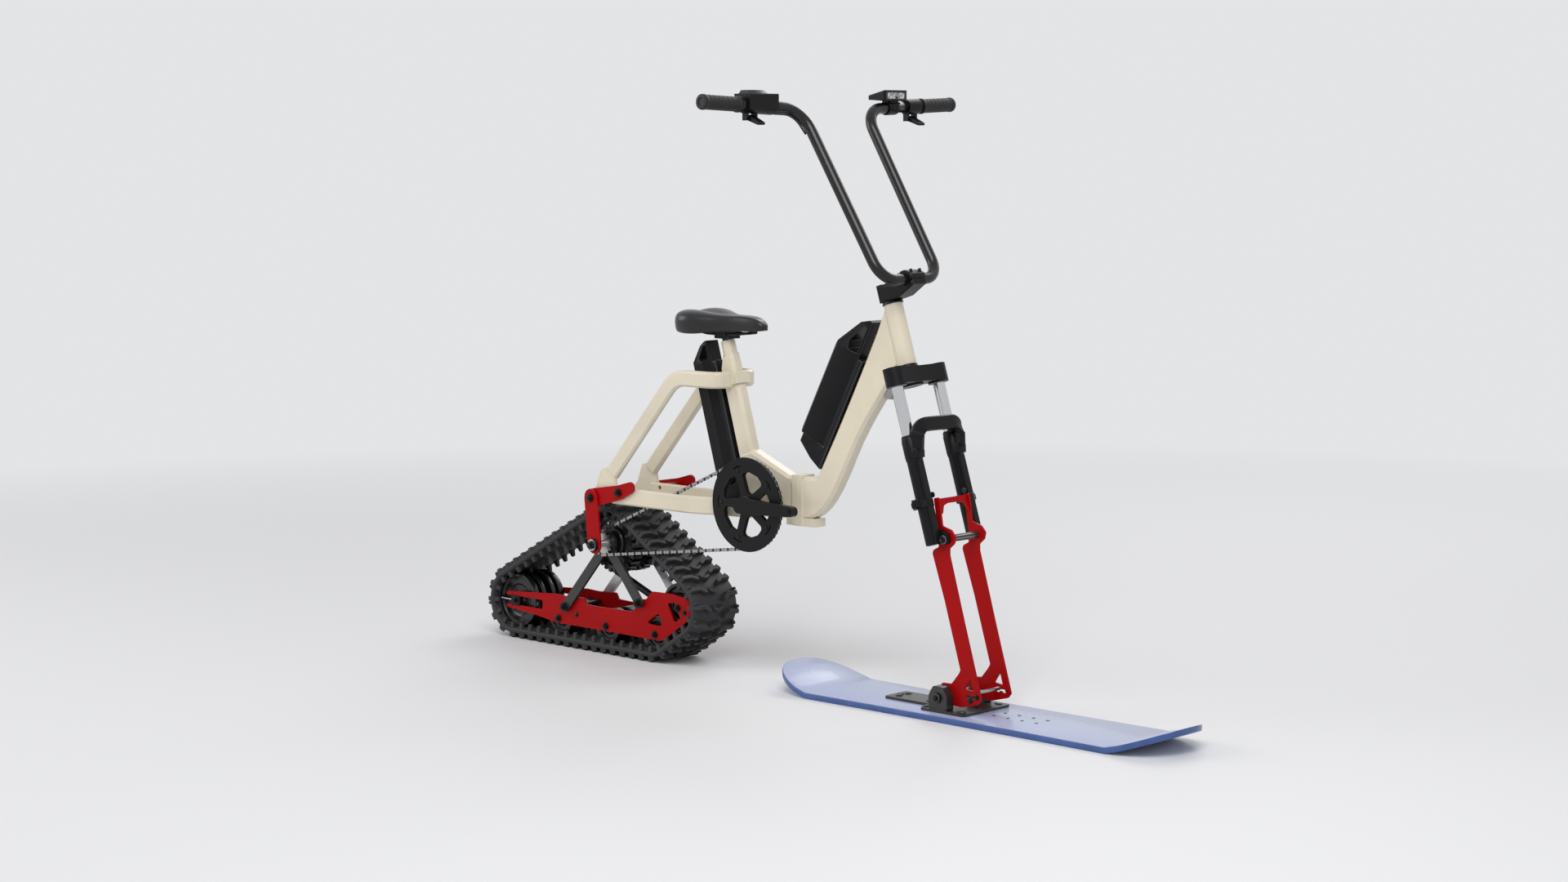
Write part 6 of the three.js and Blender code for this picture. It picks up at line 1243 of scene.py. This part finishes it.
ring_parts = [
    plate("toothed_ring", tooth_rim, ring_windows, upright, chain_y - 1, chain_y + 1, dark_steel, edge=0.3),
    turned_on("ring_hub", at(0, -69, crank_height), Vector((0, 1, 0)), [
        (0, 0), (19, 0), (20, 1), (20, 34), (0, 34),
    ], dark_steel, sides=40),
]
riding(joined(ring_parts, "toothed_ring_and_hub"), "crank", "steel", "chainring")
guard_screw = [unit_prism(polygon(4.6, 12), 0, 2.2, 0.8)]
riding(repeated("guard_screws", guard_screw, guard_places, bolt_black), "crank", "steel")

# A rubber belt with steel cords, moulded with staggered ribs outside and three rows of lugs inside, runs
# round the drum, the two idlers and the three road wheels.
kit_y = 25
rear_idler = (-876, 96.3)
front_idler = (-270, 144)
road_wheels = [(-352, 68.3), (-531, 68.3), (-710, 68.3)]
belt_thickness = 12
belt_half = 75
belt_steps = 360
belt_rows = 50
rib_foot, rib_top = 11, 25
rib_softness = 0.8
lug_depth = 15
belt_loop = Loop([(*rear_idler, 70.3), (*road_wheels[0], 42.3), (*front_idler, 61.3), (*drive_axle, 79.3)])
rubber = coated(
    "rubber", (0.032, 0.032, 0.034), (0.07, 0.068, 0.065), wear=0.15, roughness=0.6, grain=900, relief=0.3, shine=0.3,
)
band_section = [
    (-belt_half, 3), (-belt_half, belt_thickness - 2), (-belt_half + 2, belt_thickness),
    (belt_half - 2, belt_thickness), (belt_half, belt_thickness - 2), (belt_half, 3), (belt_half - 3, 0),
    (-belt_half + 3, 0),
]
around = len(band_section)
band_vertices, band_faces = [], []
for i in range(belt_steps):
    for across, out in band_section:
        x, z, angle = belt_loop.place(i / belt_steps, out)
        band_vertices.append(at(x, kit_y + across, z))
    j = (i + 1) % belt_steps
    for k in range(around):
        n = (k + 1) % around
        band_faces.append((i * around + k, j * around + k, j * around + n, i * around + n))
belt_band = mesh_piece("belt_band", band_vertices, band_faces, rubber.material)


def hooked_rib(side):
    """A rib that runs in from the belt's edge and then bends along the belt, and a small rib beside it."""
    rib = [(-7, 74), (5, 74), (5, 44), (15, 30), (15, 22), (6, 22), (-7, 40)]
    small_rib = [(-15, 74), (-7.5, 74), (-7.5, 66), (-15, 68)]
    return [
        unit_prism([(x, side * y) for x, y in rib], rib_foot, rib_top, 0.88),
        unit_prism([(x, side * y) for x, y in small_rib], rib_foot, rib_top - 4, 0.85),
    ]


def on_belt(shift):
    """A spot for each row of the belt, moved on by a share of a row."""
    return belt_loop.spots(kit_y, [(i + shift) / belt_rows for i in range(belt_rows)])


arrow_rib = [unit_prism([(-11, -18), (-2, -18), (7, 0), (-2, 18), (-11, 18), (-3, 0)], rib_foot, rib_top, 0.86)]
belt_parts = [
    belt_band,
    repeated("tread_right", hooked_rib(-1), on_belt(0.25), rubber, rib_softness),
    repeated("tread_left", hooked_rib(1), on_belt(0.75), rubber, rib_softness),
    repeated("tread_middle", arrow_rib, on_belt(0.0), rubber, rib_softness),
]
lug = [(-7, -6), (7, -6), (7, 6), (-7, 6)]
for word, across in (("right", -66), ("middle", 0), ("left", 66)):
    lug_block = unit_prism([(x, y + across) for x, y in lug], 1, -lug_depth, 0.62)
    belt_parts.append(repeated("lugs_" + word, [lug_block], on_belt(0.25), rubber, rib_softness))
riding(joined(belt_parts, "track_belt"), "track", "rubber", "belt")

# Wheels of the track kit. Turned and pressed wheels with a black coating on steel axles: a drum with
# toothed rims round the hub motor, a split rear idler, a dished front idler and three road wheels.
wheel_sides = 96
axle_sides = 24
axle_radius = 8
axle_half = 59
disc_hub = 18
disc_rounding = 1.2
wheel_coat = coated(
    "wheel_coat", (0.008, 0.008, 0.009), (0.09, 0.088, 0.085), wear=0.08, roughness=0.28, coat=0.15, shine=0.35,
)


def softened(profile, radius):
    points = arc_points([Vector((reach, y, 0)) for reach, y in profile], radius, 3)
    return [(point.x, point.y) for point in points]


def turned(name, profile, centre, finish, sides=wheel_sides):
    def place(radius, y, angle):
        return at(centre[0] + radius * math.cos(angle), kit_y + y, centre[1] + radius * math.sin(angle))

    return turned_piece(name, profile, place, finish, sides)


def dished_disc(low, high, radius, face):
    """Profile of one disc of a wheel; face is -1 or 1 where its dish looks right or left, and 0 for none."""
    rim = radius - 8
    if face == 0:
        lower = [(0, low), (disc_hub, low), (disc_hub + 2, low + 3), (rim - 3, low + 3), (rim, low), (radius, low)]
        return lower + [(reach, low + high - y) for reach, y in reversed(lower)]
    near, far, step = (low, high, 1) if face < 0 else (high, low, -1)
    return [
        (0, near + step * 2), (disc_hub, near + step * 2), (disc_hub + 3, near + step * 7),
        (rim * 0.62, near + step * 8), (rim * 0.7, near + step * 5), (rim - 4, near + step * 5), (rim, near),
        (radius, near), (radius, far), (rim, far), (rim - 2, far - step * 3), (0, far - step * 3),
    ]


def kit_wheel(name, centre, radius, discs, body, node):
    axle_profile = [(0, -axle_half), (axle_radius, -axle_half), (axle_radius, axle_half), (0, axle_half)]
    pieces = [turned(name + "_axle", axle_profile, centre, steel, axle_sides)]
    for i, (low, high, face) in enumerate(discs):
        profile = softened(dished_disc(low, high, radius, face), disc_rounding)
        pieces.append(turned(name + str(i), profile, centre, wheel_coat))
    return riding(joined(pieces, name), body, "black_metal", node)


two_discs = [(-50, -10, -1), (10, 50, 1)]
four_discs = [(-50, -34, -1), (-22, -10, 0), (10, 22, 0), (34, 50, 1)]
kit_wheel("rear_idler_wheels", rear_idler, 70, four_discs, "rear_wheel", "rear_idler")
kit_wheel("front_idler_wheels", front_idler, 61, two_discs, "front_wheel", "front_idler")
for number, centre in enumerate(road_wheels, 1):
    kit_wheel(f"road_wheel_{number}_discs", centre, 42, two_discs, f"road_wheel_{number}", f"bogie_{number}")

drum_teeth = 28
drum_bolts = 8
drum_bolt_circle = 50
drum_bolt_face = 43
tooth_row = 29.5
tooth_foot, tooth_tip = 66, 79
drum_profile = [
    (14, -54), (38, -54), (41, -51), (42, -44), (58, -42), (60, -47), (68, -47), (68, -12), (60, -10), (60, 10),
    (68, 12), (68, 47), (60, 47), (58, 42), (42, 44), (41, 51), (38, 54), (14, 54), (14, -54),
]
drum_parts = [turned("drum_shell", drum_profile, drive_axle, wheel_coat)]
tooth = [unit_prism([(-4.6, -17), (4.6, -17), (4.6, 17), (-4.6, 17)], tooth_foot, tooth_tip, 0.9)]
for side, word in both_sides:
    tooth_turns = [(0.0, math.pi / 2 - math.tau * i / drum_teeth, 0.0) for i in range(drum_teeth)]
    tooth_spots = [(at(drive_axle[0], kit_y + side * tooth_row, drive_axle[1]), turn) for turn in tooth_turns]
    drum_parts.append(repeated("drum_teeth_" + word, tooth, tooth_spots, wheel_coat, softness=0.6))
drum_screw = [unit_prism(polygon(3.4, 10), -1, 3, 0.85)]
drum_spots = [
    (at(drive_axle[0] + x, kit_y + side * drum_bolt_face, drive_axle[1] + z), outward(side))
    for side in (-1, 1) for x, z in polygon(drum_bolt_circle, drum_bolts, math.pi / drum_bolts)
]
drum_parts.append(repeated("drum_screws", drum_screw, drum_spots, steel))
riding(joined(drum_parts, "drum"), "drive", "black_metal", "drive_motor")

dressed("centre_strut", black_coat, black_coat_edge, edge=0.0008)
# The two strut frames are the same polished steel: the right one takes the dark steel as painted shade, and the left
# one the bright steel as a painted highlight.
dressed("strut_frame_right", dark_steel, black_coat_edge, edge=0.0008)
dressed("strut_frame_left", steel, steel, edge=0.0008)
for node in ("link_upper_right", "link_upper_left", "link_lower_right", "link_lower_left"):
    dressed(node, red_coat, red_coat_edge, edge=0.0007)
side_outline = [
    (-771, 108.3), (-912.5, 108.3), (-911, 117), (-724, 130), (-681, 128), (-612, 131.5), (-603, 116),
    (-561, 114.5), (-427, 117), (-413, 150), (-383, 153), (-360, 175), (-291, 176.5), (-233, 170.5), (-222, 149),
    (-226, 127), (-242, 111), (-324, 56), (-372, 55), (-528, 56), (-716, 56), (-792, 66), (-911, 76),
    (-912.5, 84.3), (-771, 84.3),
]
side_windows = [
    [(-339, 123), (-327.5, 110), (-329, 91), (-384, 93.5)], [(-306, 151), (-283, 157), (-259, 117), (-282, 107)],
]
plate_inner, plate_outer = 53, 58
block_inner, block_outer = 52.4, 59.8
tension_screw_end = -930
tension_screw_out = 55.5
axle_nut_face = 59.2
strut_nut_faces = {-1: 72, 1: 72.3}
tension_outline = [(-893, 83), (-859, 83), (-859, 109.6), (-893, 109.6)]
tension_screw_profile = [(0, 0), (5, 0), (5.6, 0.6), (5.6, 5), (2.7, 5), (2.7, 38), (0, 38)]
wheel_places = [*road_wheels, front_idler, rear_idler]
strut_places = [(-674, 103), (-400, 143)]
plate_places = [(-246, 134.5), (-640, 86), (-787, 96)]
kit_bolts = []
tensioners = []


def bolts_beside(name, blocks, side, out, places, size=1.0):
    return bolts_at(name, blocks, [(x, z, kit_y + side * out, side) for x, z in places], size)


for side, word in both_sides:
    faces = sorted((kit_y + side * plate_inner, kit_y + side * plate_outer))
    side_plate = plate(
        "side_plate_sheet_" + word, rounded(side_outline, 5), [rounded(window, 4) for window in side_windows],
        upright, *faces, red_coat, edge=0.5,
    )
    riding(side_plate, "track", "red_paint", "side_plate_" + word)
    kit_bolts += [
        bolts_beside("axle_nuts_" + word, nut_with_tip, side, axle_nut_face, wheel_places),
        bolts_beside("strut_nuts_" + word, nut_with_tip, side, strut_nut_faces[side], strut_places, size=1.15),
        bolts_beside("plate_bolts_" + word, hex_head, side, plate_outer, plate_places, size=0.8),
    ]
    faces = sorted((kit_y + side * block_inner, kit_y + side * block_outer))
    tensioners += [
        prism("tension_block_" + word, tension_outline, upright, *faces, black_coat, edge=1.5),
        turned_on(
            "tension_screw_" + word, at(tension_screw_end, kit_y + side * tension_screw_out, rear_idler[1]),
            Vector((1, 0, 0)), tension_screw_profile, chain_bright, sides=24,
        ),
    ]
riding(joined(kit_bolts, "kit_bolts"), "track", "steel")
riding(joined(tensioners, "tensioners"), "track", "steel")
link_cap = [
    unit_prism(polygon(10.8, 16), -0.3, 4.6, 0.97), unit_prism(polygon(7.6, 6, 0.3), 4.4, 9.6, 0.94),
    unit_prism(polygon(4, 10), 9, 12, 0.9),
]
link_bolts = bolts_at("link_bolts", link_cap, [
    (-427, 420, -81.5, -1), (-523, 400, -87.8, -1), (-427, 420, 131.5, 1), (-523, 400, 137.8, 1),
])
riding(link_bolts, "frame", "steel")
axle_caps = bolts_at("axle_caps", link_cap, [(*drive_axle, -88.2, -1), (*drive_axle, 138.2, 1)], size=1.5)
riding(axle_caps, "frame", "steel")
